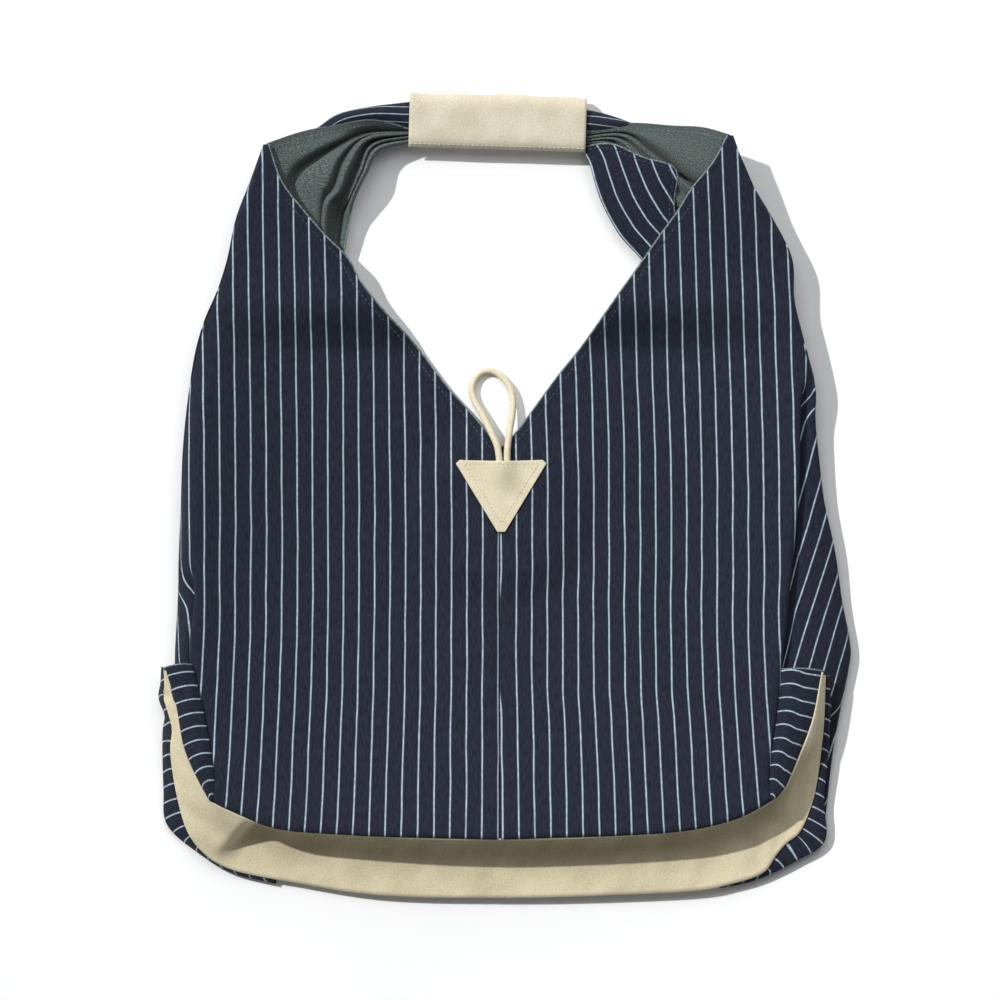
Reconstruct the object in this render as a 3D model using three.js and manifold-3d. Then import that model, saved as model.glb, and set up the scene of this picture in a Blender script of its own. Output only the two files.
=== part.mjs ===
// A pinstriped cotton hand bag with a V mouth, a gathered handle in a canvas wrap and a canvas base.
// It lies flat on its back. Millimetres: +X is to the right of its front, +Y runs from the base to the
// handle, and +Z points up out of the front. The origin is under the middle of the whole bag.
import * as THREE from "three";
import { mergeVertices } from "three/addons/utils/BufferGeometryUtils.js";
import Module from "manifold-3d";

const wasm = await Module();
wasm.setup();

// Driving dimensions
const COTTON = 1.2; // thickness of the striped cloth with its turnings
const CANVAS = 1.6; // thickness of the base and wrap canvas
const PATCH = 0.7; // thickness of a triangle patch
const SEAM_GAP = 1; // from a seam line to the cloth's edge on each side of it
const CENTRE_X = -3.6; // centre seams of the front and the back
const FOLD_Y = 129.5; // line on which the shoulders and the handle fold over
const BOTTOM_Y = -202.8; // lower edge of the front, at its centre
const MOUTH_Y = 30.5; // lowest point of the V in the front
const BACK_MOUTH_Y = 28; // lowest point of the V in the back
const BAND_TOP_Y = -99; // top edge of the four corner bands
const BASE_DEPTH = 31; // how far the lower edge of the front stands above the rest of it
const SIDE_RISE = 15; // how far the front rises towards its side folds
const SHOULDER_Z = 19; // height of the front on the fold line
const PEAK_RISE = 7; // further rise from the fold line to the peaks
const BUTTON_RISE = 4.2; // how far the button under the back lifts the cloth
const RISE_FLAT = 34; // radius round the button that is lifted by all of it
const RISE_END = 62; // radius round the button at which the cloth is down on the table again
const HALF_WIDTH = 175; // from a centre seam to a side fold
const BASE_REACH = 200; // how far up from the lower edge the base holds the front up
const BASE_CURVE = 1.6; // how soon that falls off
const SIDE_CURVE = 2.4; // how late the front rises towards its side folds
const SIDE_SAG = 0.15; // share of the base's depth that is lost at the side folds
const BLEND_FROM = 86; // between these two heights the mouth goes over to the shoulders
const BLEND_TO = 120;
const PEAK_Y = 212;
const LAYER_GAP = 1.5; // between the front and the back where the bag is emptiest
const LOOP_CORD = 4; // diameter of the loop's cord
const BUTTON_RADIUS = 9;
const BUTTON_THICK = 2;
const BUTTON_AT = new THREE.Vector2(CENTRE_X, -6); // its middle, under the back

// Outlines, as x and y from the bottom up, with a height where a third number is given
const leftSideEdge = [
  [-175.8, -180], [-174, -167], [-176, -150], [-180.9, -125], [-187, -98], [-185.5, -60], [-185, 0],
  [-184, 30], [-180, 60], [-174, 90], [-165, 130],
];
const rightSideEdge = [
  [160.2, -178.8], [158.6, -171], [159.6, -156], [164.4, -114], [167.4, -98], [167.4, -84], [171, -36],
  [174, 0], [174.6, 60], [172, 90], [164, 130],
];
const leftSilhouette = [
  [-198, -99, 5], [-196.2, -60, 6], [-193.8, 0, 9], [-192.6, 30, 11], [-189.6, 60, 12], [-184.8, 90, 13],
  [-171.2, 130, 13],
];
const rightSilhouette = [
  [204.6, -99, 5], [201, -60, 6], [190.2, 0, 9], [187.2, 24, 10], [184.8, 60, 12], [177, 96, 13],
  [171.2, 130, 13],
];
const leftMouthEdge = [
  [CENTRE_X, MOUTH_Y], [-9.4, 37.9], [-34.7, 67], [-57, 96], [-72, 112], [-86.6, 130],
];
const rightMouthEdge = [
  [CENTRE_X, MOUTH_Y], [4.9, 38.8], [23.4, 64.4], [44.4, 90.5], [60, 112], [72.4, 130],
];
const leftBackMouthEdge = [[CENTRE_X, BACK_MOUTH_Y], [-60, 88], [-96, 130]];
const rightBackMouthEdge = [[CENTRE_X, BACK_MOUTH_Y], [56, 88], [88, 130]];
const leftBottomEdge = [[CENTRE_X, BOTTOM_Y], [-99.6, -199.8], [-138.6, -196], [-157, -189], [-175.8, -180]];
const rightBottomEdge = [[CENTRE_X, BOTTOM_Y], [104.4, -198], [128, -193.5], [141.6, -189], [160.2, -178.8]];
const leftBackEdge = [[CENTRE_X, -238], [-78, -236], [-124, -229], [-165, -221], [-183, -209], [-202, -193]];
const rightBackEdge = [
  [CENTRE_X, -238], [60, -236.4], [116, -233], [148.8, -227], [174.6, -215], [189.6, -204],
];
const leftBackSide = [[-202, -193], [-203.6, -174], [-203.4, -130], [-198, -100], [-190, -98]];
const rightBackSide = [[189.6, -204], [192, -174], [195, -150], [197, -100], [194, -98]];

// The base strip's front edge and back edge, from the left tongue round the bottom to the right one
const baseFrontEdge = [
  [-203.8, -102], [-198, -120], [-193.2, -147], [-186, -164], [-175.8, -180], [-157, -189], [-138.6, -196],
  [-99.6, -199.8], [CENTRE_X, BOTTOM_Y], [104.4, -198], [128, -193.5], [141.6, -189], [160.2, -178.8],
  [167.5, -171], [176.4, -151], [183.6, -132], [189, -102],
];
const baseBackEdge = [
  [-205.6, -106, 13], [-201, -136, 12], [-200.6, -150, 11], [-197, -177, 10], [-191, -198, 8],
  [-183, -209, 7], [-168.6, -219, 5], [-124, -229, 2.7], [-78, -236, 2.7], [CENTRE_X, -238, 2.7],
  [60, -236.4, 2.7], [116, -233, 2.7], [136, -229, 3], [155, -222, 5], [166, -208, 7], [175, -201, 8],
  [184, -180, 10], [189.6, -144, 12], [191, -106, 13],
];

const cotton = new THREE.MeshStandardMaterial({ color: 0x272d3b, roughness: 0.92, metalness: 0 });
const canvas = new THREE.MeshStandardMaterial({ color: 0xd9cfb6, roughness: 0.95, metalness: 0 });
const cord = new THREE.MeshStandardMaterial({ color: 0xddd2b4, roughness: 0.9, metalness: 0 });
const resin = new THREE.MeshStandardMaterial({ color: 0xe4dcc6, roughness: 0.35, metalness: 0 });

const bag = new THREE.Group();

function add(name, geometry, material) {
  const mesh = new THREE.Mesh(geometry, material);
  mesh.name = name;
  bag.add(mesh);
  return mesh;
}

const mix = THREE.MathUtils.lerp;
const ease = THREE.MathUtils.smoothstep;

// The value at y on an outline whose points run up in y; item 0 is x and item 2 is the height
function atHeight(outline, y, item = 0) {
  let upper = outline.findIndex((point) => point[1] >= y);
  if (upper < 0) upper = outline.length - 1;
  upper = Math.max(upper, 1);
  const [low, high] = [outline[upper - 1], outline[upper]];
  return mix(low[item], high[item], THREE.MathUtils.clamp((y - low[1]) / (high[1] - low[1]), 0, 1));
}

// A function from 0..1 to the point that far along an outline
function along(outline, height = 0) {
  const path = new THREE.CurvePath();
  const corners = outline.map(([x, y, z = height]) => new THREE.Vector3(x, y, z));
  corners.slice(1).forEach((corner, i) => path.add(new THREE.LineCurve3(corners[i], corner)));
  return (t) => path.getPointAt(THREE.MathUtils.clamp(t, 0, 1));
}

// Height of the cloth's middle on the back, which lies on the table except over the button
function backHeight(x, y) {
  const lift = 1 - ease(Math.hypot(x - BUTTON_AT.x, y - BUTTON_AT.y), RISE_FLAT, RISE_END);
  return COTTON / 2 + BUTTON_RISE * lift;
}

// Height of the cloth's middle on the front
function frontHeight(x, y) {
  const fromBottom = THREE.MathUtils.clamp((y - BOTTOM_Y) / BASE_REACH, 0, 1);
  const raised = (1 - fromBottom) ** BASE_CURVE;
  const side = Math.abs(x - CENTRE_X) / HALF_WIDTH;
  const low = backHeight(x, y) + COTTON + LAYER_GAP + BASE_DEPTH * raised * (1 - SIDE_SAG * side ** 2)
    + SIDE_RISE * side ** SIDE_CURVE * (1 - raised);
  const high = SHOULDER_Z + PEAK_RISE * ease(y, FOLD_Y, PEAK_Y);
  return mix(low, high, ease(y, BLEND_FROM, BLEND_TO));
}

// A patch between four edges: lower and upper run with u, inner and outer run with v
function between(lower, upper, inner, outer) {
  return (u, v) => {
    const sides = inner(v).multiplyScalar(1 - u).addScaledVector(outer(v), u);
    const ends = lower(u).multiplyScalar(1 - v).addScaledVector(upper(u), v);
    const corners = lower(0).multiplyScalar((1 - u) * (1 - v)).addScaledVector(lower(1), u * (1 - v))
      .addScaledVector(upper(0), (1 - u) * v).addScaledVector(upper(1), u * v);
    return sides.add(ends).sub(corners);
  };
}

// A closed plate of cloth: surface(u, v) is its middle. Each edge can be held back by some millimetres,
// in the order inner (u = 0), outer (u = 1), lower (v = 0), upper (v = 1).
function clothPlate(surface, across, lengthwise, thick, edges = [0, 0, 0, 0]) {
  const box = new THREE.BoxGeometry(1, 1, 1, across, lengthwise, 1);
  box.deleteAttribute("normal");
  box.deleteAttribute("uv");
  const plate = mergeVertices(box);
  const place = plate.getAttribute("position");
  const step = 0.002;
  const normalAt = (u, v) => {
    const [a, b] = [Math.min(u, 1 - step), Math.min(v, 1 - step)];
    const here = surface(a, b);
    const acrossCloth = surface(a + step, b).sub(here);
    const upCloth = surface(a, b + step).sub(here);
    return acrossCloth.cross(upCloth).normalize();
  };
  for (let i = 0; i < place.count; i += 1) {
    const u = place.getX(i) + 0.5;
    const v = place.getY(i) + 0.5;
    const width = surface(0, v).distanceTo(surface(1, v));
    const length = surface(u, 0).distanceTo(surface(u, 1));
    const heldU = mix(edges[0] / width, 1 - edges[1] / width, u);
    const heldV = mix(edges[2] / length, 1 - edges[3] / length, v);
    const point = surface(heldU, heldV).addScaledVector(normalAt(heldU, heldV), place.getZ(i) * thick);
    place.setXYZ(i, point.x, point.y, point.z);
  }
  return plate;
}

// The front and back panels: from the centre seam and the mouth's edge out to the side fold
const MOUTH_SHARE = 0.7; // share of a panel's rows that lie below the mouth
function panelSurface(bottomEdge, mouthEdge, sideEdge, height) {
  const rowY = (start, middle, v) => (v < MOUTH_SHARE
    ? mix(start, middle, v / MOUTH_SHARE) : mix(middle, FOLD_Y, (v - MOUTH_SHARE) / (1 - MOUTH_SHARE)));
  const mouthY = mouthEdge[0][1];
  const inner = (v) => {
    const y = rowY(bottomEdge[0][1], mouthY, v);
    return new THREE.Vector3(y < mouthY ? CENTRE_X : atHeight(mouthEdge, y), y, 0);
  };
  const outer = (v) => {
    const y = rowY(sideEdge[0][1], mouthY, v);
    return new THREE.Vector3(atHeight(sideEdge, y), y, 0);
  };
  const upper = (u) => new THREE.Vector3(mix(inner(1).x, outer(1).x, u), FOLD_Y, 0);
  const flat = between(along(bottomEdge), upper, inner, outer);
  return (u, v) => {
    const point = flat(u, v);
    return point.setZ(height(point.x, point.y));
  };
}

// A side fold, from the front's side edge out to the silhouette and in again to the back's side edge
const BACK_INSET = 8; // how far the back's side edge lies inside the silhouette
function sideSurface(sideEdge, silhouette) {
  return (u, v) => {
    const y = mix(BAND_TOP_Y, FOLD_Y, v);
    const frontX = atHeight(sideEdge, y);
    const outX = atHeight(silhouette, y);
    const backX = outX - Math.sign(outX) * BACK_INSET;
    const bend = new THREE.QuadraticBezierCurve3(
      new THREE.Vector3(frontX, y, frontHeight(frontX, y)),
      new THREE.Vector3(2 * outX - (frontX + backX) / 2, y, 2 * atHeight(silhouette, y, 2) - 8),
      new THREE.Vector3(backX, y, COTTON / 2),
    );
    return bend.getPoint(u);
  };
}

function backSide(lowerPart, silhouette) {
  const upperPart = silhouette.slice(1).map(([x, y]) => [x - Math.sign(x) * BACK_INSET, y]);
  return [...lowerPart, ...upperPart];
}

const fronts = {
  left: panelSurface(leftBottomEdge, leftMouthEdge, leftSideEdge, frontHeight),
  right: panelSurface(rightBottomEdge, rightMouthEdge, rightSideEdge, frontHeight),
};
const backs = {
  left: panelSurface(
    leftBackEdge, leftBackMouthEdge, backSide(leftBackSide, leftSilhouette), backHeight,
  ),
  right: panelSurface(
    rightBackEdge, rightBackMouthEdge, backSide(rightBackSide, rightSilhouette), backHeight,
  ),
};
const sides = {
  left: sideSurface(leftSideEdge, leftSilhouette),
  right: sideSurface(rightSideEdge, rightSilhouette),
};
for (const hand of ["left", "right"]) {
  const held = [SEAM_GAP / 2, SEAM_GAP, SEAM_GAP / 2, SEAM_GAP / 2];
  add(`front_${hand}_panel`, clothPlate(fronts[hand], 8, 20, COTTON, held), cotton);
  add(`back_${hand}_panel`, clothPlate(backs[hand], 10, 20, COTTON, held), cotton);
  add(`${hand}_side_fold`, clothPlate(sides[hand], 8, 10, COTTON, [SEAM_GAP, SEAM_GAP, 0, 0.5]), cotton);
}

// The canvas base: from under the front's lower edge it drops, turns in and runs out along the table
const BASE_DROP = 1.4; // how far its front edge starts under the front's cloth
const TONGUE_IN = 3; // how far a tongue's middle is drawn in
const TONGUE_SAG = 2; // and down
const TUCK_IN = 16; // how far the strip turns in under the front's lower edge
const TUCK_Z = 1.7; // height of that turn
const baseFront = along(baseFrontEdge);
const baseBack = along(baseBackEdge);
function baseSurface(u, v) {
  const front = baseFront(v);
  front.setZ(frontHeight(front.x, front.y) - BASE_DROP);
  const back = baseBack(v);
  const middle = ease(v, 0.2, 0.34) * (1 - ease(v, 0.66, 0.8));
  const tuck = front.clone().lerp(back, 0.5);
  tuck.x -= Math.sign(tuck.x) * TONGUE_IN;
  tuck.z -= TONGUE_SAG;
  tuck.lerp(new THREE.Vector3(front.x, front.y + TUCK_IN, TUCK_Z), middle);
  return new THREE.QuadraticBezierCurve3(front, tuck, back).getPoint(u);
}
add("base_panel", clothPlate(baseSurface, 8, 32, CANVAS, [SEAM_GAP, SEAM_GAP, 0, 0]), canvas);

// The corner bands. Each lies between the base strip and its panel, and tapers to a point.
const BAND_POINT = 4; // width at the pointed end
const FRONT_CROWN = 2.5; // how far a front band swells
const BACK_CROWN = 1.5; // how far a back band swells
function frontBandSurface(sideEdge, baseEdge) {
  const inner = along(sideEdge);
  const outer = along(baseEdge);
  return (u, v) => {
    const point = inner(v).lerp(outer(v), u);
    const crown = FRONT_CROWN * Math.sin(Math.PI * u) * ease(v, 0, 0.5);
    return point.setZ(frontHeight(point.x, point.y) + crown);
  };
}
const leftInner = leftSideEdge.filter(([, y]) => y < BAND_TOP_Y + 2);
const rightInner = rightSideEdge.filter(([, y]) => y < BAND_TOP_Y + 2);
const leftOuter = baseFrontEdge.slice(0, 5).reverse();
const rightOuter = baseFrontEdge.slice(12);
leftOuter[0] = [leftInner[0][0] - BAND_POINT, leftInner[0][1] + BAND_POINT];
rightOuter[0] = [rightInner[0][0] + BAND_POINT, rightInner[0][1] + BAND_POINT];
const bandHeld = [SEAM_GAP, SEAM_GAP, 0, 0];
add("front_left_band", clothPlate(frontBandSurface(leftInner, leftOuter), 4, 8, COTTON, bandHeld), cotton);
add("front_right_band", clothPlate(frontBandSurface(rightInner, rightOuter), 4, 8, COTTON, bandHeld), cotton);

function backBandSurface(baseEdge, outerEdge) {
  const inner = along(baseEdge);
  const outer = along(outerEdge, 3);
  return (u, v) => {
    const point = inner(v).lerp(outer(v), u);
    return point.setZ(point.z + BACK_CROWN * Math.sin(Math.PI * u));
  };
}
const leftOutline = [
  [-207.4, -103], [-207.2, -120], [-205, -130], [-205, -174], [-202.8, -194], [-183.6, -212], [-165, -223],
  [-140, -228.4],
];
const rightOutline = [
  [195.2, -103], [193.8, -156], [191.4, -180], [190.4, -204], [174.6, -216], [148.8, -228],
];
const leftBackBand = backBandSurface(baseBackEdge.slice(0, 8), leftOutline);
const rightBackBand = backBandSurface(baseBackEdge.slice(13).reverse(), rightOutline);
add("back_left_band", clothPlate(leftBackBand, 4, 12, COTTON, [SEAM_GAP, 0.2, 0, 3]), cotton);
add("back_right_band", clothPlate(rightBackBand, 4, 12, COTTON, [SEAM_GAP, 0.2, 0, 3]), cotton);

// The shoulders above the fold line. The front one narrows to the peak, and the back one turns there
// into the strap that runs to the handle.
function onFront(outline) {
  const flat = along(outline);
  return (t) => {
    const point = flat(t);
    return point.setZ(frontHeight(point.x, point.y));
  };
}
function frontShoulder(mouthEdge, sideEdge) {
  const lower = onFront([mouthEdge[0], sideEdge[0]]);
  const upper = onFront([mouthEdge.at(-1), sideEdge.at(-1)]);
  return between(lower, upper, onFront(mouthEdge), onFront(sideEdge));
}
const SHOULDER_SAG = 0.75; // share of its height that the back's cloth sinks by between its edges
const SAG_REACH = 1.1; // how soon the sag ends towards the outer edge
function backShoulder(mouthEdge, outerEdge) {
  const lower = along([mouthEdge[0], outerEdge[0]]);
  const upper = along([mouthEdge.at(-1), outerEdge.at(-1)]);
  const sheet = between(lower, upper, along(mouthEdge), along(outerEdge));
  return (u, v) => {
    const point = sheet(u, v);
    const across = Math.sin(Math.PI * Math.min(u * SAG_REACH, 1));
    const sag = SHOULDER_SAG * (1 - v) * (point.z - COTTON / 2) * across;
    return point.setZ(point.z - sag);
  };
}
const shoulderHeld = [0, SEAM_GAP, 1, 0];
const frontShoulders = {
  left: frontShoulder(
    [[-86.6, 130], [-95, 145], [-107, 157], [-121, 173], [-134, 190], [-140.5, 208]],
    [[-165, 130], [-160.6, 144], [-156, 168], [-150, 190], [-146, 207]],
  ),
  right: frontShoulder(
    [[72.4, 130], [81, 142], [92, 158], [111, 186], [124, 202], [130, 212]],
    [[164, 130], [164.6, 144], [154, 168], [141.5, 192], [135.5, 211]],
  ),
};
const backShoulders = {
  left: backShoulder(
    [[-96, 130, 0.6], [-95, 150, 1], [-93, 172, 2], [-87, 190, 4], [-81, 202, 5.5], [-72, 211, 6],
      [-60, 215, 6]],
    [[-171.2, 130, 13], [-166, 144, 13], [-161, 168, 15], [-152, 192, 18], [-143.4, 210, 21],
      [-128, 218, 20], [-112, 222, 18], [-88, 230, 14], [-60, 236, 10]],
  ),
  right: backShoulder(
    [[88, 130, 0.6], [80, 142, 1], [68.4, 159, 2.5], [58.7, 176, 4], [54.5, 188, 5], [51, 200, 6],
      [50.2, 212, 6]],
    [[171.2, 130, 13], [170, 144, 13], [159, 168, 15], [145, 192, 18], [133.8, 214, 21], [124.5, 221, 20],
      [102.6, 224, 17], [82, 227, 14], [50.2, 232, 10]],
  ),
};
for (const hand of ["left", "right"]) {
  add(`front_${hand}_shoulder`, clothPlate(frontShoulders[hand], 5, 8, COTTON, shoulderHeld), cotton);
  add(`back_${hand}_shoulder`, clothPlate(backShoulders[hand], 8, 16, COTTON, [0, 0, 1, 0]), cotton);
}

// The handle: a flattened canvas sleeve round the two gathered strap ends, one laid over the other
const WRAP_LENGTH = 106;
const WRAP_WIDTH = 31.2;
const WRAP_DEPTH = 13.4;
const WRAP_MIDDLE = new THREE.Vector3(-5, 226, 7.3);
const WRAP_TURN = THREE.MathUtils.degToRad(-1.7);
const STRAP_DEPTH = 4; // thickness of a gathered strap end
const STRAP_WIDTH = 23;

// A shape with straight long sides and round short ends, round its own middle
function roundEnded(width, depth, cornerSteps = 5) {
  const radius = depth / 2;
  const reach = width / 2 - radius;
  const shape = new THREE.Shape();
  for (let i = 0; i <= cornerSteps; i += 1) {
    const turn = Math.PI * (i / cornerSteps - 0.5);
    shape[i ? "lineTo" : "moveTo"](reach + radius * Math.cos(turn), radius * Math.sin(turn));
  }
  for (let i = 0; i <= cornerSteps; i += 1) {
    const turn = Math.PI * (i / cornerSteps + 0.5);
    shape.lineTo(-reach + radius * Math.cos(turn), radius * Math.sin(turn));
  }
  shape.closePath();
  return shape;
}

// A bar of that section along X, from one end to the other
function barAlongX(shape, startX, endX, steps) {
  const bar = new THREE.ExtrudeGeometry(shape, { depth: endX - startX, bevelEnabled: false, steps });
  return bar.rotateX(Math.PI / 2).rotateZ(Math.PI / 2).translate(startX, 0, 0);
}

const handle = new THREE.Group();
handle.position.copy(WRAP_MIDDLE);
handle.rotation.z = WRAP_TURN;
const sleeve = roundEnded(WRAP_WIDTH, WRAP_DEPTH);
sleeve.holes.push(roundEnded(WRAP_WIDTH - 2 * CANVAS, WRAP_DEPTH - 2 * CANVAS));
const wrap = add("handle_wrap", barAlongX(sleeve, -WRAP_LENGTH / 2, WRAP_LENGTH / 2, 2), canvas);
const strapSection = roundEnded(STRAP_WIDTH, STRAP_DEPTH, 3);
const strapEnds = {
  left: add("left_strap_end", barAlongX(strapSection, -WRAP_LENGTH / 2, 40, 1), cotton),
  right: add("right_strap_end", barAlongX(strapSection, -40, WRAP_LENGTH / 2, 1), cotton),
};
strapEnds.left.position.z = -2.3;
strapEnds.right.position.z = 2.3;
handle.add(wrap, strapEnds.left, strapEnds.right);
bag.add(handle);

// The triangle patches, blunt at the tip: one on the front, and its match outside on the back
const PATCH_HALF = 26.7; // half of the top edge
const PATCH_TALL = 41.4;
const TIP_HALF = 2; // half of the blunt tip
const PATCH_GAP = 0.4; // between the faces of the cloth and the patch
const PATCH_LIFT = COTTON / 2 + PATCH_GAP + PATCH / 2; // between the middles of the cloth and the patch
function patchSurface(middleX, topY, height) {
  const tip = [-TIP_HALF, TIP_HALF].map((x) => [middleX + x, topY - PATCH_TALL]);
  const top = [-PATCH_HALF, PATCH_HALF].map((x) => [middleX + x, topY]);
  const flat = between(along(tip), along(top), along([tip[0], top[0]]), along([tip[1], top[1]]));
  return (u, v) => {
    const point = flat(u, v);
    return point.setZ(height(point.x, point.y));
  };
}
const onTheFront = patchSurface(-2.7, 22.2, (x, y) => frontHeight(x, y) + PATCH_LIFT);
const underTheBack = patchSurface(BUTTON_AT.x, BUTTON_AT.y + 16, (x, y) => backHeight(x, y) - PATCH_LIFT);
add("front_patch", clothPlate(onTheFront, 6, 6, PATCH), canvas);
add("back_patch", clothPlate(underTheBack, 6, 6, PATCH), canvas);

// The button under the back, with four holes for its thread
function asSolid(geometry) {
  geometry.deleteAttribute("normal");
  geometry.deleteAttribute("uv");
  const merged = mergeVertices(geometry, 1e-4);
  const vertProperties = new Float32Array(merged.getAttribute("position").array);
  const triVerts = new Uint32Array(merged.getIndex().array);
  return new wasm.Manifold(new wasm.Mesh({ numProp: 3, vertProperties, triVerts }));
}
const discProfile = [
  [0, 0], [BUTTON_RADIUS - 1, 0], [BUTTON_RADIUS, 0.8], [BUTTON_RADIUS, BUTTON_THICK - 0.6],
  [BUTTON_RADIUS - 1, BUTTON_THICK], [0, BUTTON_THICK],
].map(([radius, z]) => new THREE.Vector2(radius, z));
let disc = asSolid(new THREE.LatheGeometry(discProfile, 32).rotateX(Math.PI / 2));
for (let i = 0; i < 4; i += 1) {
  const turn = Math.PI * (i / 2 + 0.25);
  const hole = new THREE.CylinderGeometry(0.9, 0.9, 3 * BUTTON_THICK, 10).rotateX(Math.PI / 2);
  disc = disc.subtract(asSolid(hole.translate(2.2 * Math.cos(turn), 2.2 * Math.sin(turn), 0)));
}
const drilled = disc.getMesh();
const button = new THREE.BufferGeometry();
button.setAttribute("position", new THREE.BufferAttribute(drilled.vertProperties, 3));
button.setIndex(new THREE.BufferAttribute(drilled.triVerts, 1));
add("button", button.translate(BUTTON_AT.x, BUTTON_AT.y, 0), resin);
const THREAD_LENGTH = 0.6;
const thread = new THREE.CylinderGeometry(2.4, 2.4, THREAD_LENGTH, 16).rotateX(Math.PI / 2);
thread.translate(BUTTON_AT.x, BUTTON_AT.y, BUTTON_THICK + 0.3 + THREAD_LENGTH / 2);
add("button_thread", thread, cord);

// The closure loop: a round cord that leaves under the patch's top edge and comes back to it
const loopRoute = [
  [-3.9, 22.6, 10.6], [-4.1, 25, 10.5], [-5.3, 32.3, 10], [-8.3, 39.4, 8.8], [-12.1, 47, 7],
  [-15.9, 54.2, 5.2], [-19.2, 60.5, 3.8], [-20.5, 66.8, 3], [-18.4, 73.1, 2.5], [-14.2, 76.9, 2.4],
  [-9.5, 77.7, 2.4], [-4.5, 75.6, 2.5], [-0.3, 71.4, 3], [2.7, 66.8, 3.8], [4.1, 60, 5],
  [3.9, 52.5, 6.4], [2.7, 44.9, 7.8], [1.6, 37.3, 9.2], [0.8, 30.2, 10.1], [0.7, 25, 10.5],
  [0.7, 22.6, 10.6],
];
const loopPath = new THREE.CatmullRomCurve3(loopRoute.map(([x, y, z]) => new THREE.Vector3(x, y, z)));
const loopSection = new THREE.Shape();
loopSection.setFromPoints(Array.from({ length: 8 }, (_, i) => {
  const turn = (Math.PI * i) / 4;
  return new THREE.Vector2(LOOP_CORD / 2 * Math.cos(turn), LOOP_CORD / 2 * Math.sin(turn));
}));
const loopShape = { extrudePath: loopPath, steps: 44, bevelEnabled: false };
add("closure_loop", new THREE.ExtrudeGeometry(loopSection, loopShape), cord);

export default bag;
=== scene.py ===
# %% [markdown]
# This lesson makes a pinstriped cotton hand bag that lies flat on its back: a V mouth with two peaks,
# straps gathered into a canvas handle wrap, a canvas base with striped corner bands, a cord loop and a
# button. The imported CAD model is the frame. Each new piece goes where the frame's pieces are and rides
# on the same bodies, so the bag still folds at its joints.

# %% Load the frame
import math

import bmesh
import bpy
import numpy as np
from mathutils import Matrix, Vector


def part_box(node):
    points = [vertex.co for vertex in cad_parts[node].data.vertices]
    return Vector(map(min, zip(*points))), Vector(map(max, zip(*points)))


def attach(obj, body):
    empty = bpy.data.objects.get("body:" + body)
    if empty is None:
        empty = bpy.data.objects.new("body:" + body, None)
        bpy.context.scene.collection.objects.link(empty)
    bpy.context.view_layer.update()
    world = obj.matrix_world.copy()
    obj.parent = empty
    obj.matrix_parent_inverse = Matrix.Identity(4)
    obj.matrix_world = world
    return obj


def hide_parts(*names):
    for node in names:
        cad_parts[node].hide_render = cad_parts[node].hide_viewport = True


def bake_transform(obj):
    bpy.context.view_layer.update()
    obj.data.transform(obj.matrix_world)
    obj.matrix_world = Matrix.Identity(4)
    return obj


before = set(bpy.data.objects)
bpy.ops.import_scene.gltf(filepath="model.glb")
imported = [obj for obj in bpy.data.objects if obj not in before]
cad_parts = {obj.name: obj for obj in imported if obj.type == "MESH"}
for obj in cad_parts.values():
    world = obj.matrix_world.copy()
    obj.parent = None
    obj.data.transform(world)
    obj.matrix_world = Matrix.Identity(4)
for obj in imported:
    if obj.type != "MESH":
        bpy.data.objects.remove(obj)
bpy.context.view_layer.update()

# %% [markdown]
# Cloth is easiest to think about in millimetres, so every shape below is worked out in them and turned
# to metres when its points are placed. The driving sizes are those of the frame: the middle seam, the
# lowest points of the mouth, the line where the handle folds over, and how high the cloth lies.

# %% Driving sizes
MM = 0.001
CENTRE_X = -3.6  # the middle seams of the front and the back
BOTTOM_Y = -202.8  # the front's lower edge at its middle
MOUTH_Y = 30.5  # lowest point of the V in the front
BACK_MOUTH_Y = 25.0  # lowest point of the V in the back
BACK_BOTTOM_Y = -233.5  # the back's lower edge at its middle
BAND_TOP_Y = -99.0
FOLD_Y = 129.5  # the line on which the handle folds over
COTTON = 1.0  # thickness of the striped cloth with its turnings
CANVAS = 1.3
STRIPE_PITCH = 9.25  # from one pinstripe to the next
BUTTON_AT = (CENTRE_X, -6.0)


def mix(a, b, share):
    return a + (b - a) * share


def ease(value, low, high):
    share = np.clip((value - low) / (high - low), 0, 1)
    return share * share * (3 - 2 * share)


def box_mm(node):
    low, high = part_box(node)
    return np.array(low) / MM, np.array(high) / MM


for node in ("closure_loop", "handle_wrap", "front_patch", "button"):
    print(node, "from", box_mm(node)[0].round(1), "to", box_mm(node)[1].round(1))

# %% [markdown]
# The bag is looked at from straight above. A long lens, far away, keeps the outline true, because a
# near camera would show the high peaks larger than the flat middle.

# %% Camera
VIEW_WIDTH = 0.6
camera_data = bpy.data.cameras.new("camera")
camera_data.lens = 400
camera_data.sensor_width = 36
camera = bpy.data.objects.new("camera", camera_data)
camera.location = (CENTRE_X * MM, 0, VIEW_WIDTH * camera_data.lens / camera_data.sensor_width)
bpy.context.scene.collection.objects.link(camera)
bpy.context.scene.camera = camera
print("camera is", round(camera.location.z, 2), "m up")

# %% [markdown]
# Daylight comes in from the upper left, about half way up, with crisp shadows: a sun lamp with a small angle.
# A wide soft panel beyond the handle fills the shadows, so they stay darkest just under a lower edge, and
# the room itself gives only a little light. The floor is one pale sheet just under the bag.

# %% Light and floor
DAYLIGHT = (0.97, 0.985, 1.0)
sun_data = bpy.data.lights.new("sun", "SUN")
sun_data.energy = 3.0
sun_data.angle = math.radians(1.6)
sun = bpy.data.objects.new("sun", sun_data)
sun.rotation_euler = Vector((-0.83, 0.65, 1.0)).to_track_quat("Z", "Y").to_euler()
bpy.context.scene.collection.objects.link(sun)

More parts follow.
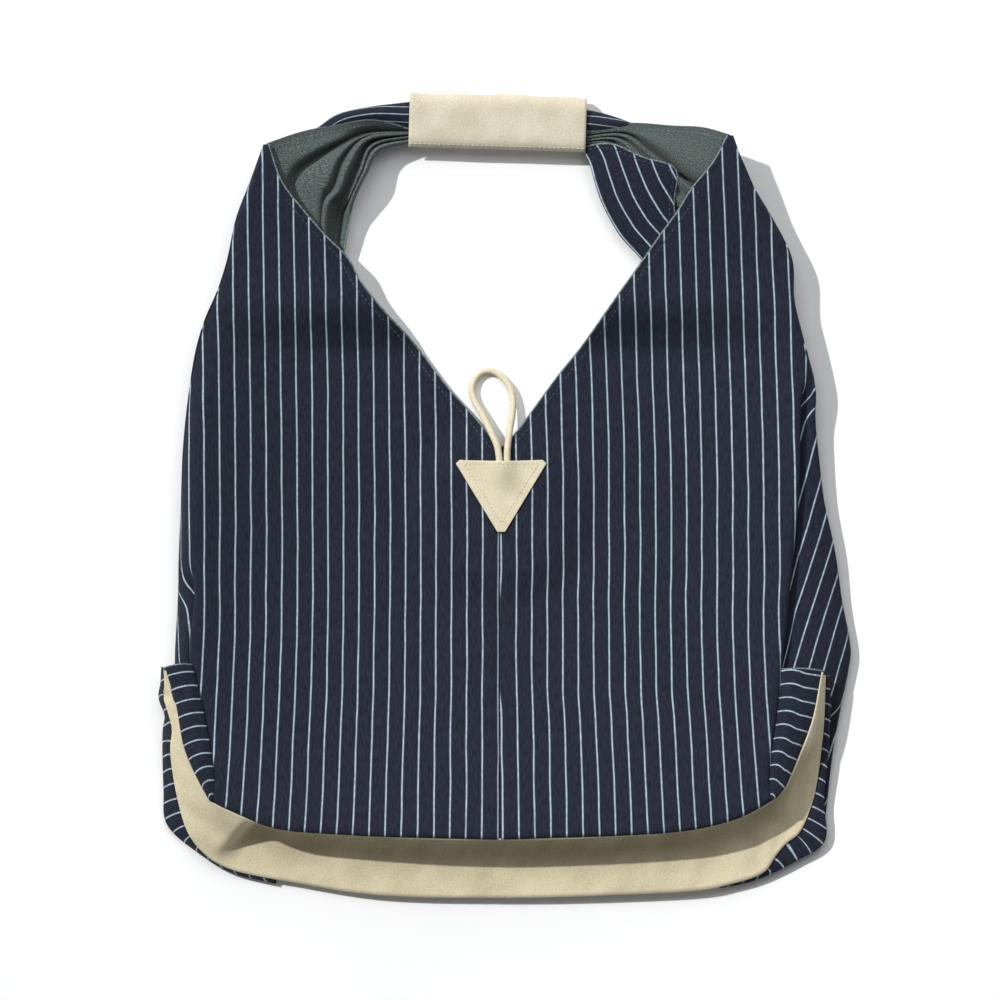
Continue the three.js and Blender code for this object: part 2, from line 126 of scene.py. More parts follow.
panel_data = bpy.data.lights.new("soft_panel", "AREA")
panel_data.shape = "SQUARE"
panel_data.size = 2.4
panel_data.energy = 38
panel_data.color = DAYLIGHT
panel = bpy.data.objects.new("soft_panel", panel_data)
panel.location = (0.3, 1.7, 1.9)
panel.rotation_euler = panel.location.to_track_quat("Z", "Y").to_euler()
bpy.context.scene.collection.objects.link(panel)

world = bpy.data.worlds.new("studio")
world.use_nodes = True
world.node_tree.nodes["Background"].inputs["Color"].default_value = (*DAYLIGHT, 1)
world.node_tree.nodes["Background"].inputs["Strength"].default_value = 0.17
bpy.context.scene.world = world
bpy.context.scene.view_settings.view_transform = "Standard"

floor_bm = bmesh.new()
bmesh.ops.create_grid(floor_bm, x_segments=1, y_segments=1, size=4)
bmesh.ops.translate(floor_bm, verts=floor_bm.verts, vec=(0, 0, -0.3 * MM))
floor_mesh = bpy.data.meshes.new("floor")
floor_bm.to_mesh(floor_mesh)
floor = bpy.data.objects.new("floor", floor_mesh)
bpy.context.scene.collection.objects.link(floor)
print("sun", sun_data.energy, "floor", [round(s, 1) for s in floor.dimensions])

# %% [markdown]
# Every material below is built with the same small function, which adds one node, sets it and links it.
# Colours are written as the hex values that a screen shows, and one function turns them to the linear
# values that a shader takes.


# %% Colour and node helpers
def linear(hex_colour):
    channels = [int(hex_colour[i:i + 2], 16) / 255 for i in (1, 3, 5)]
    return tuple(c / 12.92 if c <= 0.04045 else ((c + 0.055) / 1.055) ** 2.4 for c in channels) + (1,)


def node(tree, kind, inputs=(), **settings):
    made = tree.nodes.new(kind)
    for name, value in settings.items():
        setattr(made, name, value)
    for socket, value in dict(inputs).items():
        if isinstance(value, bpy.types.NodeSocket):
            tree.links.new(value, made.inputs[socket])
        else:
            made.inputs[socket].default_value = value
    return made


def new_material(name, roughness, sheen):
    material = bpy.data.materials.new(name)
    material.use_nodes = True
    shader = material.node_tree.nodes["Principled BSDF"]
    shader.inputs["Roughness"].default_value = roughness
    shader.inputs["Sheen Weight"].default_value = sheen
    shader.inputs["Sheen Roughness"].default_value = 0.6
    shader.inputs["Specular IOR Level"].default_value = 0.25
    return material, material.node_tree, shader


print("navy is", [round(c, 3) for c in linear("#272d3b")[:3]])

# %% [markdown]
# The outside is yarn-dyed cotton: navy warp and weft with a pale warp stripe every 9.25 mm. The stripe is
# four threads wide, and the navy weft crosses over it, so it looks like a row of beads. The pattern reads
# the cloth's own map, whose unit is the millimetre, so the stripes follow each fold. The real threads are
# 0.25 mm apart, too fine to show, so the weave is drawn 1.1 mm apart.

# %% Striped cotton
STRIPE_HALF = 0.42
WEAVE_PITCH = 1.1
BEAD_PITCH = 1.3


def weave(tree, across, along, pitch):
    """Two crossing sets of threads, as a height from -1 to 1."""
    turns = 2 * math.pi / pitch
    warp = node(tree, "ShaderNodeMath", {0: across, 1: turns}, operation="MULTIPLY")
    weft = node(tree, "ShaderNodeMath", {0: along, 1: turns}, operation="MULTIPLY")
    warp_wave = node(tree, "ShaderNodeMath", {0: warp.outputs[0]}, operation="SINE")
    weft_wave = node(tree, "ShaderNodeMath", {0: weft.outputs[0]}, operation="SINE")
    both = {0: warp_wave.outputs[0], 1: weft_wave.outputs[0]}
    return node(tree, "ShaderNodeMath", both, operation="MULTIPLY").outputs[0]


def cloth_map(tree):
    place = node(tree, "ShaderNodeUVMap", uv_map="cloth")
    parts = node(tree, "ShaderNodeSeparateXYZ", {0: place.outputs["UV"]})
    return place.outputs["UV"], parts.outputs["X"], parts.outputs["Y"]


def noise(tree, vector, size, detail=2.0):
    inputs = {"Vector": vector, "Scale": 1 / size, "Detail": detail}
    return node(tree, "ShaderNodeTexNoise", inputs).outputs["Fac"]


def ramp(tree, factor, dark, light, low=0.3, high=0.7):
    made = node(tree, "ShaderNodeValToRGB", {"Fac": factor})
    made.color_ramp.elements[0].position = low
    made.color_ramp.elements[0].color = linear(dark)
    made.color_ramp.elements[1].position = high
    made.color_ramp.elements[1].color = linear(light)
    return made.outputs["Color"]


def striped_cotton():
    material, tree, shader = new_material("yarn_dyed_cotton", 0.88, 0.03)
    place, across, along = cloth_map(tree)
    drift = node(tree, "ShaderNodeMath", {0: noise(tree, place, 45), 1: 0.5}, operation="SUBTRACT")
    drawn = {0: drift.outputs[0], 1: 1.6, 2: across}
    wavy = node(tree, "ShaderNodeMath", drawn, operation="MULTIPLY_ADD")
    shifted = {0: wavy.outputs[0], 1: 1 / STRIPE_PITCH, 2: 0.5}
    turn = node(tree, "ShaderNodeMath", shifted, operation="MULTIPLY_ADD")
    part = node(tree, "ShaderNodeMath", {0: turn.outputs[0]}, operation="FRACT")
    side = node(tree, "ShaderNodeMath", {0: part.outputs[0], 1: 0.5}, operation="SUBTRACT")
    size = node(tree, "ShaderNodeMath", {0: side.outputs[0]}, operation="ABSOLUTE")
    off = node(tree, "ShaderNodeMath", {0: size.outputs[0], 1: STRIPE_PITCH}, operation="MULTIPLY")
    beads = node(tree, "ShaderNodeMath", {0: along, 1: 2 * math.pi / BEAD_PITCH}, operation="MULTIPLY")
    beat = node(tree, "ShaderNodeMath", {0: beads.outputs[0]}, operation="SINE")
    swell = {0: beat.outputs[0], 1: -0.12, 2: off.outputs[0]}
    edge = node(tree, "ShaderNodeMath", swell, operation="MULTIPLY_ADD")
    fade = {"Value": edge.outputs[0], "From Min": STRIPE_HALF - 0.16, "From Max": STRIPE_HALF + 0.16}
    stripe = node(tree, "ShaderNodeMapRange", {**fade, "To Min": 1.0, "To Max": 0.0})
    threads = weave(tree, across, along, WEAVE_PITCH)
    streaks = node(tree, "ShaderNodeMapping", {"Vector": place, "Scale": (1.0, 0.25, 1)})
    slub = noise(tree, streaks.outputs[0], 1.2, 3.0)
    mottled = node(tree, "ShaderNodeMath", {0: threads, 1: 0.10, 2: slub}, operation="MULTIPLY_ADD")
    navy = ramp(tree, mottled.outputs[0], "#0e121d", "#222939", 0.3, 0.72)
    pale = ramp(tree, noise(tree, place, 2.5), "#8d9fac", "#b6c7d1", 0.35, 0.65)
    colour = node(tree, "ShaderNodeMix", {0: stripe.outputs[0], 6: navy, 7: pale}, data_type="RGBA")
    tree.links.new(colour.outputs[2], shader.inputs["Base Color"])
    raised = {0: stripe.outputs[0], 1: 0.6, 2: mottled.outputs[0]}
    relief = node(tree, "ShaderNodeMath", raised, operation="MULTIPLY_ADD")
    heights = {"Strength": 0.35, "Distance": 0.12 * MM, "Height": relief.outputs[0]}
    tree.links.new(node(tree, "ShaderNodeBump", heights).outputs[0], shader.inputs["Normal"])
    return material


cotton = striped_cotton()
print(cotton.name, "with a stripe each", STRIPE_PITCH, "mm")

# %% [markdown]
# The wrong side of the cloth is where the pale and the navy threads float and mix to a speckled
# grey-green. Where the hems are turned, the fold shows as a thin paler line. Thread is the same cotton,
# spun thinner and a little glossier.


# %% Wrong side, hem edge and thread
def speckled(name, dark, light, size, bump_mm, roughness=0.92):
    material, tree, shader = new_material(name, roughness, 0.1)
    place, across, along = cloth_map(tree)
    fine = noise(tree, place, size, 4.0)
    threads = weave(tree, across, along, WEAVE_PITCH)
    both = node(tree, "ShaderNodeMath", {0: threads, 1: 0.07, 2: fine}, operation="MULTIPLY_ADD")
    tree.links.new(ramp(tree, both.outputs[0], dark, light, 0.34, 0.66), shader.inputs["Base Color"])
    heights = {"Strength": 0.4, "Distance": bump_mm * MM, "Height": both.outputs[0]}
    tree.links.new(node(tree, "ShaderNodeBump", heights).outputs[0], shader.inputs["Normal"])
    return material


wrong_side = speckled("cotton_wrong_side", "#20282a", "#68736f", 0.9, 0.2)
hem_edge = speckled("turned_hem_edge", "#3e4a4a", "#8b9a9c", 1.4, 0.1)
navy_thread = speckled("spun_cotton_thread_navy", "#2b3242", "#5a6577", 1.5, 0.1, 0.6)
grey_thread = speckled("spun_cotton_thread_grey", "#5c6765", "#98a3a2", 1.5, 0.1, 0.6)
pale_thread = speckled("spun_cotton_thread_pale", "#c2b795", "#efe6cc", 1.5, 0.1, 0.6)
print("cotton finishes", [m.name for m in (wrong_side, hem_edge, navy_thread, grey_thread, pale_thread)])

# %% [markdown]
# The base, the wrap and the patches are unbleached plain-woven canvas: thick, round threads 0.6 mm apart,
# cream with darker specks of seed husk. Its weave is drawn 1.3 mm apart. The base's canvas is a little
# yellower than the wrap's, at about the same brightness. The loop is a thin tube of the same cotton, whose
# threads run round it at a slant.


# %% Canvas, cord, resin and floor
CANVAS_PITCH = 1.3  # canvas threads as drawn
CORD_PITCH = 2.4


def woven_canvas(name, dark, light):
    material, tree, shader = new_material(name, 0.93, 0.15)
    place, across, along = cloth_map(tree)
    threads = weave(tree, across, along, CANVAS_PITCH)
    blotches = noise(tree, place, 22, 3.0)
    slub = noise(tree, place, 1.1, 3.0)
    mottled = node(tree, "ShaderNodeMath", {0: threads, 1: 0.10, 2: slub}, operation="MULTIPLY_ADD")
    spread = {0: mottled.outputs[0], 1: blotches}
    both = node(tree, "ShaderNodeMath", spread, operation="ADD")
    half = node(tree, "ShaderNodeMath", {0: both.outputs[0], 1: 0.5}, operation="MULTIPLY")
    tree.links.new(ramp(tree, half.outputs[0], dark, light, 0.36, 0.62), shader.inputs["Base Color"])
    heights = {"Strength": 0.5, "Distance": 0.22 * MM, "Height": mottled.outputs[0]}
    tree.links.new(node(tree, "ShaderNodeBump", heights).outputs[0], shader.inputs["Normal"])
    return material


def loop_cord():
    material, tree, shader = new_material("woven_cotton_cord", 0.9, 0.12)
    place, across, along = cloth_map(tree)
    slant = node(tree, "ShaderNodeMath", {0: across, 1: along}, operation="ADD")
    counter = node(tree, "ShaderNodeMath", {0: across, 1: along}, operation="SUBTRACT")
    threads = weave(tree, slant.outputs[0], counter.outputs[0], CORD_PITCH)
    fine = noise(tree, place, 1.0, 3.0)
    both = node(tree, "ShaderNodeMath", {0: threads, 1: 0.14, 2: fine}, operation="MULTIPLY_ADD")
    tree.links.new(ramp(tree, both.outputs[0], "#c6ba98", "#ece3cb", 0.3, 0.7), shader.inputs["Base Color"])
    heights = {"Strength": 0.5, "Distance": 0.2 * MM, "Height": both.outputs[0]}
    tree.links.new(node(tree, "ShaderNodeBump", heights).outputs[0], shader.inputs["Normal"])
    return material


def plain_speckle(name, dark, light, size, roughness, coat=0.0):
    material, tree, shader = new_material(name, roughness, 0.0)
    shader.inputs["Coat Weight"].default_value = coat
    where = node(tree, "ShaderNodeTexCoord").outputs["Object"]
    cloud = noise(tree, where, size * MM, 3.0)
    tree.links.new(ramp(tree, cloud, dark, light), shader.inputs["Base Color"])
    return material


wrap_canvas = woven_canvas("washed_canvas", "#bab199", "#d6ceb9")
patch_canvas = woven_canvas("patch_canvas", "#c6bd9f", "#e0d7bd")
base_canvas = woven_canvas("unbleached_canvas", "#bab092", "#dad0b1")
cord_finish = loop_cord()
resin = plain_speckle("cast_button_resin", "#cfc4a6", "#ece4cf", 6, 0.3, 0.4)
floor_finish = plain_speckle("matt_studio_paper", "#f4f4f4", "#f8f8f8", 200, 0.9)
floor.data.materials.append(floor_finish)
print("canvas finishes", wrap_canvas.name, patch_canvas.name, base_canvas.name)

# %% [markdown]
# A cloth follows lines: its hems, its folds and its pleats. So each piece is drawn as a few smooth lines,
# and the cloth is stretched between them. line() gives a smooth line through a few points, outline()
# says where such a line stands at each y, and loft() gives the cloth that passes through several lines.


# %% Lines and lofts
def through(a, b, c, d, t):
    """A smooth step from b to c, with a before and d after them."""
    bend = (2 * a - 5 * b + 4 * c - d) * t**2 + (3 * b - a - 3 * c + d) * t**3
    return 0.5 * (2 * b + (c - a) * t + bend)


STEPS = 24


def line(points, marks=None):
    """A smooth line through points. It takes a share of its length, or a mark where marks are given."""
    knots = np.array(points, float)
    more = np.vstack([2 * knots[0] - knots[1], knots, 2 * knots[-1] - knots[-2]])
    gaps = np.sqrt(np.linalg.norm(np.diff(more, axis=0), axis=1))
    slopes = np.diff(more, axis=0) / gaps[:, None]
    wide = (more[2:] - more[:-2]) / (gaps[1:] + gaps[:-1])[:, None]
    leans = slopes[:-1] - wide + slopes[1:]
    t = np.linspace(0, 1, STEPS, endpoint=False)[:, None]
    runs = []
    for i in range(len(knots) - 1):
        start, end = gaps[i + 1] * leans[i], gaps[i + 1] * leans[i + 1]
        ends = knots[i] * (2 * t**3 - 3 * t**2 + 1) + knots[i + 1] * (3 * t**2 - 2 * t**3)
        runs.append(ends + start * (t**3 - 2 * t**2 + t) + end * (t**3 - t**2))
    run = np.vstack([*runs, knots[-1:]])
    if marks is None:
        lengths = np.linalg.norm(np.diff(run, axis=0), axis=1)
        reached = np.concatenate([[0], np.cumsum(lengths)]) / lengths.sum()
    else:
        reached = np.interp(np.arange(len(run)) / STEPS, np.arange(len(marks)), marks)
    return lambda at: np.stack([np.interp(at, reached, run[:, k]) for k in range(run.shape[1])], -1)


def outline(points):
    """For a line that runs up the bag: its x, and its height where points have one, at each y."""
    run = line(points)(np.linspace(0, 1, 400))
    if run.shape[1] == 2:
        return lambda y: np.interp(y, run[:, 1], run[:, 0])
    return lambda y: (np.interp(y, run[:, 1], run[:, 0]), np.interp(y, run[:, 1], run[:, 2]))


def loft(guides):
    """The cloth through several guides: u runs from the first guide to the last, v along them."""
    def place(u, v):
        rows = np.stack([guide(v) for guide in guides])
        step = u * (len(guides) - 1)
        first = np.clip(np.floor(step).astype(int), 0, len(guides) - 2)
        t = (step - first)[..., None]
        picked = [np.clip(first + k, 0, len(guides) - 1) for k in (-1, 0, 1, 2)]
        grid = np.indices(u.shape)
        return through(*(rows[(pick, *grid)] for pick in picked), t)
    return place


def joined(x, y, z):
    return np.stack(np.broadcast_arrays(x, y, z), -1)


print("a line half way", line([(0, 0, 0), (10, 5, 0), (20, 0, 0)])(0.5).round(2))

# %% [markdown]
# One function makes each cloth. It starts from bmesh's own grid, moves each point to its place on the
# surface, and gives the cloth its map in millimetres. Solidify then gives it its thickness, with one
# finish for the face, one for the wrong side and one for the cut edge.


# %% From a grid to a cloth
def grid_of(across, along):
    """Shares across and along a grid, one row for each step along."""
    return np.meshgrid(np.linspace(0, 1, across + 1), np.linspace(0, 1, along + 1))


def arc_lengths(points, axis):
    """How far each point is from the first one, along the rows (axis 1) or the columns (axis 0)."""
    steps = np.linalg.norm(np.diff(points, axis=axis), axis=-1)
    total = np.cumsum(steps, axis=axis)
    return np.concatenate([np.zeros_like(np.take(total, [0], axis=axis)), total], axis=axis)


def own_map(points):
    return np.stack([arc_lengths(points, 1), arc_lengths(points, 0)], -1)


def add_grid(bm, points, cloth_place):
    """A grid in bm with its points (mm) in place and the cloth's map on its faces."""
    rows, columns = points.shape[0] - 1, points.shape[1] - 1
    old = set(bm.verts)
    bmesh.ops.create_grid(bm, x_segments=columns, y_segments=rows, size=0.5)
    layer = bm.loops.layers.uv.get("cloth") or bm.loops.layers.uv.new("cloth")
    new = [v for v in bm.verts if v not in old]
    for vertex in new:
        row, column = round((vertex.co.y + 0.5) * rows), round((vertex.co.x + 0.5) * columns)
        vertex.co = points[row, column] * MM
        for loop in vertex.link_loops:
            loop[layer].uv = cloth_place[row, column]


def new_piece(name, bm, materials, flip=False, merge_mm=0.02):
    bmesh.ops.remove_doubles(bm, verts=bm.verts, dist=merge_mm * MM)
    if flip:
        bmesh.ops.reverse_faces(bm, faces=bm.faces)
    mesh = bpy.data.meshes.new(name)
    bm.to_mesh(mesh)
    bm.free()
    mesh.polygons.foreach_set("use_smooth", [True] * len(mesh.polygons))
    for material in materials:
        mesh.materials.append(material)
    piece = bpy.data.objects.new(name, mesh)
    bpy.context.scene.collection.objects.link(piece)
    return piece


def thicken(piece, thickness, back=1, rim=2):
    solid = piece.modifiers.new("thickness", "SOLIDIFY")
    solid.thickness = thickness * MM
    solid.offset = 0
    solid.material_offset = back
    solid.material_offset_rim = rim


def cloth(name, place, across, along, thickness, materials, flip=False, stripes=None):
    u, v = grid_of(across, along)
    points = place(u, v)
    bm = bmesh.new()
    add_grid(bm, points, own_map(points) if stripes is None else stripes(points, u, v))
    piece = new_piece(name, bm, materials, flip)
    thicken(piece, thickness, *((1, 2) if len(materials) > 2 else (0, 0)))
    return piece


print("cotton is", COTTON, "mm thick and canvas", CANVAS)

# %% [markdown]
# A cord, a hem's rolled edge and a stitch are all round and follow a line. roll() puts a ring of points
# round a line, and stitches() lays small beads of thread along it, each a ball with twenty faces that
# is stretched along the seam.


# %% Rolls and stitches
def roll(route, radius, flatten=1.0):
    """A tube round a line that lies roughly level: u runs round it, v along it."""
    def place(u, v):
        middle = route(v)
        ahead = route(np.minimum(v + 0.002, 1)) - route(np.maximum(v - 0.002, 0))
        ahead /= np.linalg.norm(ahead, axis=-1, keepdims=True)
        beside = np.cross(ahead, (0, 0, 1.0))
        beside /= np.linalg.norm(beside, axis=-1, keepdims=True)
        above = np.cross(beside, ahead)
        turn = 2 * math.pi * u[..., None]
        return middle + radius * (np.cos(turn) * beside + flatten * np.sin(turn) * above)
    return place


def length_of(route):
    return np.linalg.norm(np.diff(route(np.linspace(0, 1, 400)), axis=0), axis=1).sum()


def rolled(name, routes, radius, material, sides=8, step=1.5):
    bm = bmesh.new()
    for route in routes:
        u, v = grid_of(sides, max(4, round(length_of(route) / step)))
        points = roll(route, radius)(u, v)
        add_grid(bm, points, own_map(points))
    bmesh.ops.remove_doubles(bm, verts=bm.verts, dist=0.01 * MM)
    bmesh.ops.holes_fill(bm, edges=[e for e in bm.edges if e.is_boundary], sides=sides)
    bmesh.ops.recalc_face_normals(bm, faces=bm.faces)
    return new_piece(name, bm, [material])


def stitches(name, routes, material, spacing=3.1, long=2.3, thick=0.5):
    bm = bmesh.new()
    for route in routes:
        count = max(1, int(length_of(route) / spacing))
        for i in range(count):
            share = (i + 0.5) / count
            here = Vector(route(share))
            ahead = Vector(route(min(share + 0.004, 1))) - Vector(route(max(share - 0.004, 0)))
            turned = ahead.to_track_quat("X", "Z").to_matrix().to_4x4()
            shape = Matrix.Diagonal((long / 2, thick / 2, thick / 2, 1))
            spot = Matrix.Translation(here * MM) @ Matrix.Scale(MM, 4) @ turned @ shape
            bmesh.ops.create_icosphere(bm, subdivisions=1, radius=1, matrix=spot, calc_uvs=False)
    layer = bm.loops.layers.uv.new("cloth")
    for face in bm.faces:
        for loop in face.loops:
            loop[layer].uv = loop.vert.co.xy / MM
    return new_piece(name, bm, [material], merge_mm=0.001)


print("a stitch has 20 faces")

# %% [markdown]
# The closure loop is a limp round cord, 4 mm thick and 128 mm long. Both of its ends are sewn in under the
# top edge of the front patch. It lies in one open curve over the edge of the mouth. Its route is the
# frame's, less than a millimetre lower where it leaves the patch.

# %% Closure loop
LOOP_ROUTE = [
    (-3.9, 22.6, 9.7), (-4.1, 25, 9.9), (-5.3, 32.3, 9.8), (-8.3, 39.4, 8.7), (-12.1, 47, 6.9),
    (-15.9, 54.2, 5.2), (-19.2, 60.5, 3.8), (-20.5, 66.8, 3), (-18.4, 73.1, 2.5), (-14.2, 76.9, 2.4),
    (-9.5, 77.7, 2.4), (-4.5, 75.6, 2.5), (-0.3, 71.4, 3), (2.7, 66.8, 3.8), (4.1, 60, 5),
    (3.9, 52.5, 6.4), (2.7, 44.9, 7.8), (1.6, 37.3, 9.1), (0.8, 30.2, 9.9), (0.7, 25, 9.9),
    (0.7, 22.6, 9.7),
]
LOOP_DIAMETER = 4.0
loop_line = line(LOOP_ROUTE)
loop_length = length_of(loop_line)
closure_loop = rolled("closure_loop_cord", [loop_line], LOOP_DIAMETER / 2, cord_finish, sides=24, step=0.7)
loop_line(np.linspace(0, 1, 200)) * MM
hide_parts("closure_loop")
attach(closure_loop, "loop")
print("loop", round(loop_length), "mm of cord")

# %% [markdown]
# The front lies low in the middle and rises towards its lower edge, where the base stands up inside, and
# towards its side folds. Above the fold line both shoulders stand on the cloth under them. These are
# close to the frame's heights, with a few slow waves added, because cotton never lies quite flat.


# %% How high the cloth lies
def back_height(x, y):
    away = np.hypot(x - BUTTON_AT[0], y - BUTTON_AT[1])
    return COTTON / 2 + 4.2 * (1 - ease(away, 34, 62))


def front_height(x, y):
    raised = (1 - np.clip((y - BOTTOM_Y) / 200, 0, 1)) ** 1.6
    side = np.abs(x - CENTRE_X) / 175
    low = back_height(x, y) + 2.7 + 31 * raised * (1 - 0.15 * side**2) + 15 * side**2.4 * (1 - raised)
    high = 20 + 7.5 * ease(y, FOLD_Y, 212)
    return mix(low, high, ease(y, 86, 120))


def waves(x, y):
    slow = np.sin(x / 31 + 1.3) * np.sin(y / 47 + 0.4) + 0.6 * np.sin(x / 17 - y / 39)
    return 0.35 * slow + 0.12 * np.sin(x / 9 + 2 * np.sin(y / 60))


print("front height at the mouth", front_height(CENTRE_X, MOUTH_Y).round(1), "mm")

# %% [markdown]
# Each half of the bag is one cloth. It runs from the middle seam of the front, round the side, to the
# middle seam of the back, and its top is drawn out into a strap. So each half is a single mesh of three
# grids that meet at shared edges: the front, the side fold, and the back with the strap. Marks run up
# all three: 0 at the bottom, 0.6 at the mouth's lowest point, 1 at the peak and 2 at the handle wrap.

# %% Outlines of the two halves
MOUTH_MARK = 0.6
LEFT_PEAK_Y = 212.4
RIGHT_PEAK_Y = 217.8
FOLD_MARK = 0.815
STRAP_MARKS = (FOLD_MARK, 1, 1.25, 1.5, 1.75, 2)

left = {
    "out": -1,
    "peak_y": LEFT_PEAK_Y,
    "first_stripe": 1.25,
    "lean": -0.012,
    "seam_pinch": 0.0,
    "mouth": outline([
        (CENTRE_X, MOUTH_Y), (-9.4, 37.9), (-22, 53.1), (-34.7, 67), (-57, 96), (-72, 112), (-86.6, 130),
        (-95, 145), (-107, 157), (-121, 173), (-134, 190), (-142, 212.4),
    ]),
    "crease": outline([
        (-175.8, -180), (-174, -167), (-176, -150), (-180.9, -125), (-187, -98), (-187.5, -80), (-185, -60),
        (-184.5, 0), (-183, 30), (-179.5, 60), (-173.5, 90), (-164, 130), (-157, 160), (-150, 190),
        (-143.6, 212.4),
    ]),
    "silhouette": outline([
        (-190, -200, 3), (-197, -160, 3), (-197.5, -110, 4), (-198, -96, 5.5), (-196.2, -60, 6.5),
        (-193.8, 0, 9), (-192.6, 30, 11), (-189.6, 60, 12), (-184.8, 90, 14), (-179.4, 108, 16),
        (-171.6, 126, 17), (-166, 144, 18), (-161, 168, 19), (-152, 192, 22), (-144.6, 212.4, 26),
    ]),
    "bottom": outline([(y, x) for x, y in [
        (-175.8, -180), (-157, -189), (-138.6, -196), (-99.6, -199.8), (CENTRE_X, BOTTOM_Y)]]),
    "side_start": -200.0,
    "tuck": (-60, -30),
    "slant_from": -30.0,
    "slant": 0.1,
}
right = {
    "out": 1,
    "peak_y": RIGHT_PEAK_Y,
    "first_stripe": 0.95,
    "lean": 0.037,
    "seam_pinch": 1.0,
    "mouth": outline([
        (CENTRE_X, MOUTH_Y), (4.9, 38.8), (15, 52.2), (32.7, 76.2), (44.4, 90.5), (68.4, 124.5), (81, 142),
        (92, 158), (103, 173), (111, 186), (124, 202), (132.4, 217.8),
    ]),
    "crease": outline([
        (159, -178.8), (156.6, -171), (157.3, -152), (160.6, -129.5), (163, -108), (163.6, -94),
        (165.6, -80), (170, -36), (173.5, 0), (174.6, 60), (173, 90), (165, 130), (161, 155), (146.5, 190),
        (134.2, 217.8),
    ]),
    "silhouette": outline([
        (189.5, -205, 2.5), (192, -180, 3.5), (195.6, -150, 5), (199.8, -126, 5.5), (204.6, -102, 6),
        (206, -90, 6.5), (201, -60, 7), (196.8, -30, 8.5), (190.2, 0, 10), (187.2, 24, 11), (184.8, 48, 13),
        (184.8, 66, 15), (180.6, 84, 17), (175.8, 102, 18), (171.6, 120, 18), (170.4, 144, 18.5),
        (159, 168, 19.5), (145, 192, 23), (135.2, 217.8, 26.5),
    ]),
    "bottom": outline([(y, x) for x, y in [
        (CENTRE_X, BOTTOM_Y), (104.4, -198), (128, -193.5), (141.6, -189), (160.2, -178.8)]]),
    "side_start": -205.0,
    "tuck": (45, 80),
    "slant_from": 78.0,
    "slant": 0.272,
}
print("mouth at y 130:", left["mouth"](130.0).round(1), right["mouth"](130.0).round(1))

# %% [markdown]
# The side fold is a section that changes along the bag. High up it is a quarter of an oval from the front
# to the back. Lower down the front's edge lies over it, so the section turns in under that edge and out
# again, like the letter S. Below the bands' top edges it is tucked down into the corner.

# %% Front and side fold
ROWS = 170
STRAP_ROWS = 60
FRONT_COLUMNS = 66
SIDE_COLUMNS = 28
BACK_INSET = 8.0  # how far the line under the side fold lies inside the silhouette


def level(half, mark, start):
    """The y of a mark on a line that starts at the given y and ends at the peak."""
    below = mix(start, MOUTH_Y, mark / MOUTH_MARK)
    above = mix(MOUTH_Y, half["peak_y"], (mark - MOUTH_MARK) / (1 - MOUTH_MARK))
    return np.where(mark < MOUTH_MARK, below, above)


def front_points(half, u, mark):
    corner_x = half["crease"](-200.0)
    start = half["bottom"](mix(CENTRE_X, corner_x, u))
    y = level(half, mark, start)
    x = mix(half["mouth"](y), half["crease"](y), u)
    seam = 0.9 * np.exp(-np.abs(x - CENTRE_X) / 1.1) * (y < MOUTH_Y + 2)
    turned_in = 1.4 * np.exp(-(y - start) / 0.9)
    z = front_height(x, y) + waves(x, y) * ease(y, -200, -150) - seam - turned_in
    return joined(x, y, z)


def side_guides(half, crease_points):
    out = half["out"]
    marks = np.linspace(0, 1, ROWS + 1)
    cx, cy, cz = crease_points.T
    sy = level(half, marks, half["side_start"])
    sx, sz = half["silhouette"](sy)
    tucked = 1 - ease(cy, *half["tuck"])
    pocket = 1 - ease(cy, -120, -99)
    drop = ease(cy, -180, -130)
    low = [(0.9, -1.8), (-3.5, -3.4), (-2.0, -6.2)]
    points = [crease_points]
    for i in range(1, 5):
        turn = 0.2 * i * math.pi / 2
        round_x, round_z = mix(cx, sx, math.sin(turn)), sz + (cz - sz) * math.cos(turn)
        if i < 4:
            fold_x, fold_z = cx + out * low[i - 1][0], cz + low[i - 1][1]
            fold_z = mix(fold_z, (cz - 2.5, cz - 5, 4.0)[i - 1], pocket)
        else:
            fold_x, fold_z = mix(cx, sx, 0.52), mix(cz - 6.0, 2.0, pocket)
        fold_y = mix(cy, sy, i / 5 * drop)
        points.append(joined(mix(round_x, fold_x, tucked), fold_y, mix(round_z, fold_z, tucked)))
    points.append(joined(sx, sy, sz))
    inset = mix(BACK_INSET, 1.5, ease(sy, 120, 205))
    under = mix(COTTON / 2, sz - mix(9, 2.0, ease(sy, 130, 205)), ease(sy, 100, 140))
    points.append(joined(sx - out * inset, sy, under))
    return [line_at_rows(p) for p in points]


def line_at_rows(points):
    """A guide whose points are known at each row's mark from 0 to 1."""
    marks = np.linspace(0, 1, len(points))
    return lambda mark: np.stack([np.interp(mark, marks, points[:, k]) for k in range(3)], -1)


def front_and_side(half):
    u, mark = grid_of(FRONT_COLUMNS, ROWS)
    front = front_points(half, u, mark)
    guides = side_guides(half, front[:, -1])
    side = loft(guides)(*grid_of(SIDE_COLUMNS, ROWS))
    return front, side, guides[-1]


print("the fold line is at mark", round(MOUTH_MARK + 0.4 * (FOLD_Y - MOUTH_Y) / (LEFT_PEAK_Y - MOUTH_Y), 2))

# %% [markdown]
# Above the fold line the back's cloth becomes the strap. Its wrong side shows between the peaks and the
# wrap, in pleats that run together under the wrap. Each line below is a hem, a ridge or a valley, at five
# stations: level with the peak, at three places between, and at the wrap. On the right the lower edge of
# the strap is turned over, so the last lines run under the fold and come back over it with the stripes up.

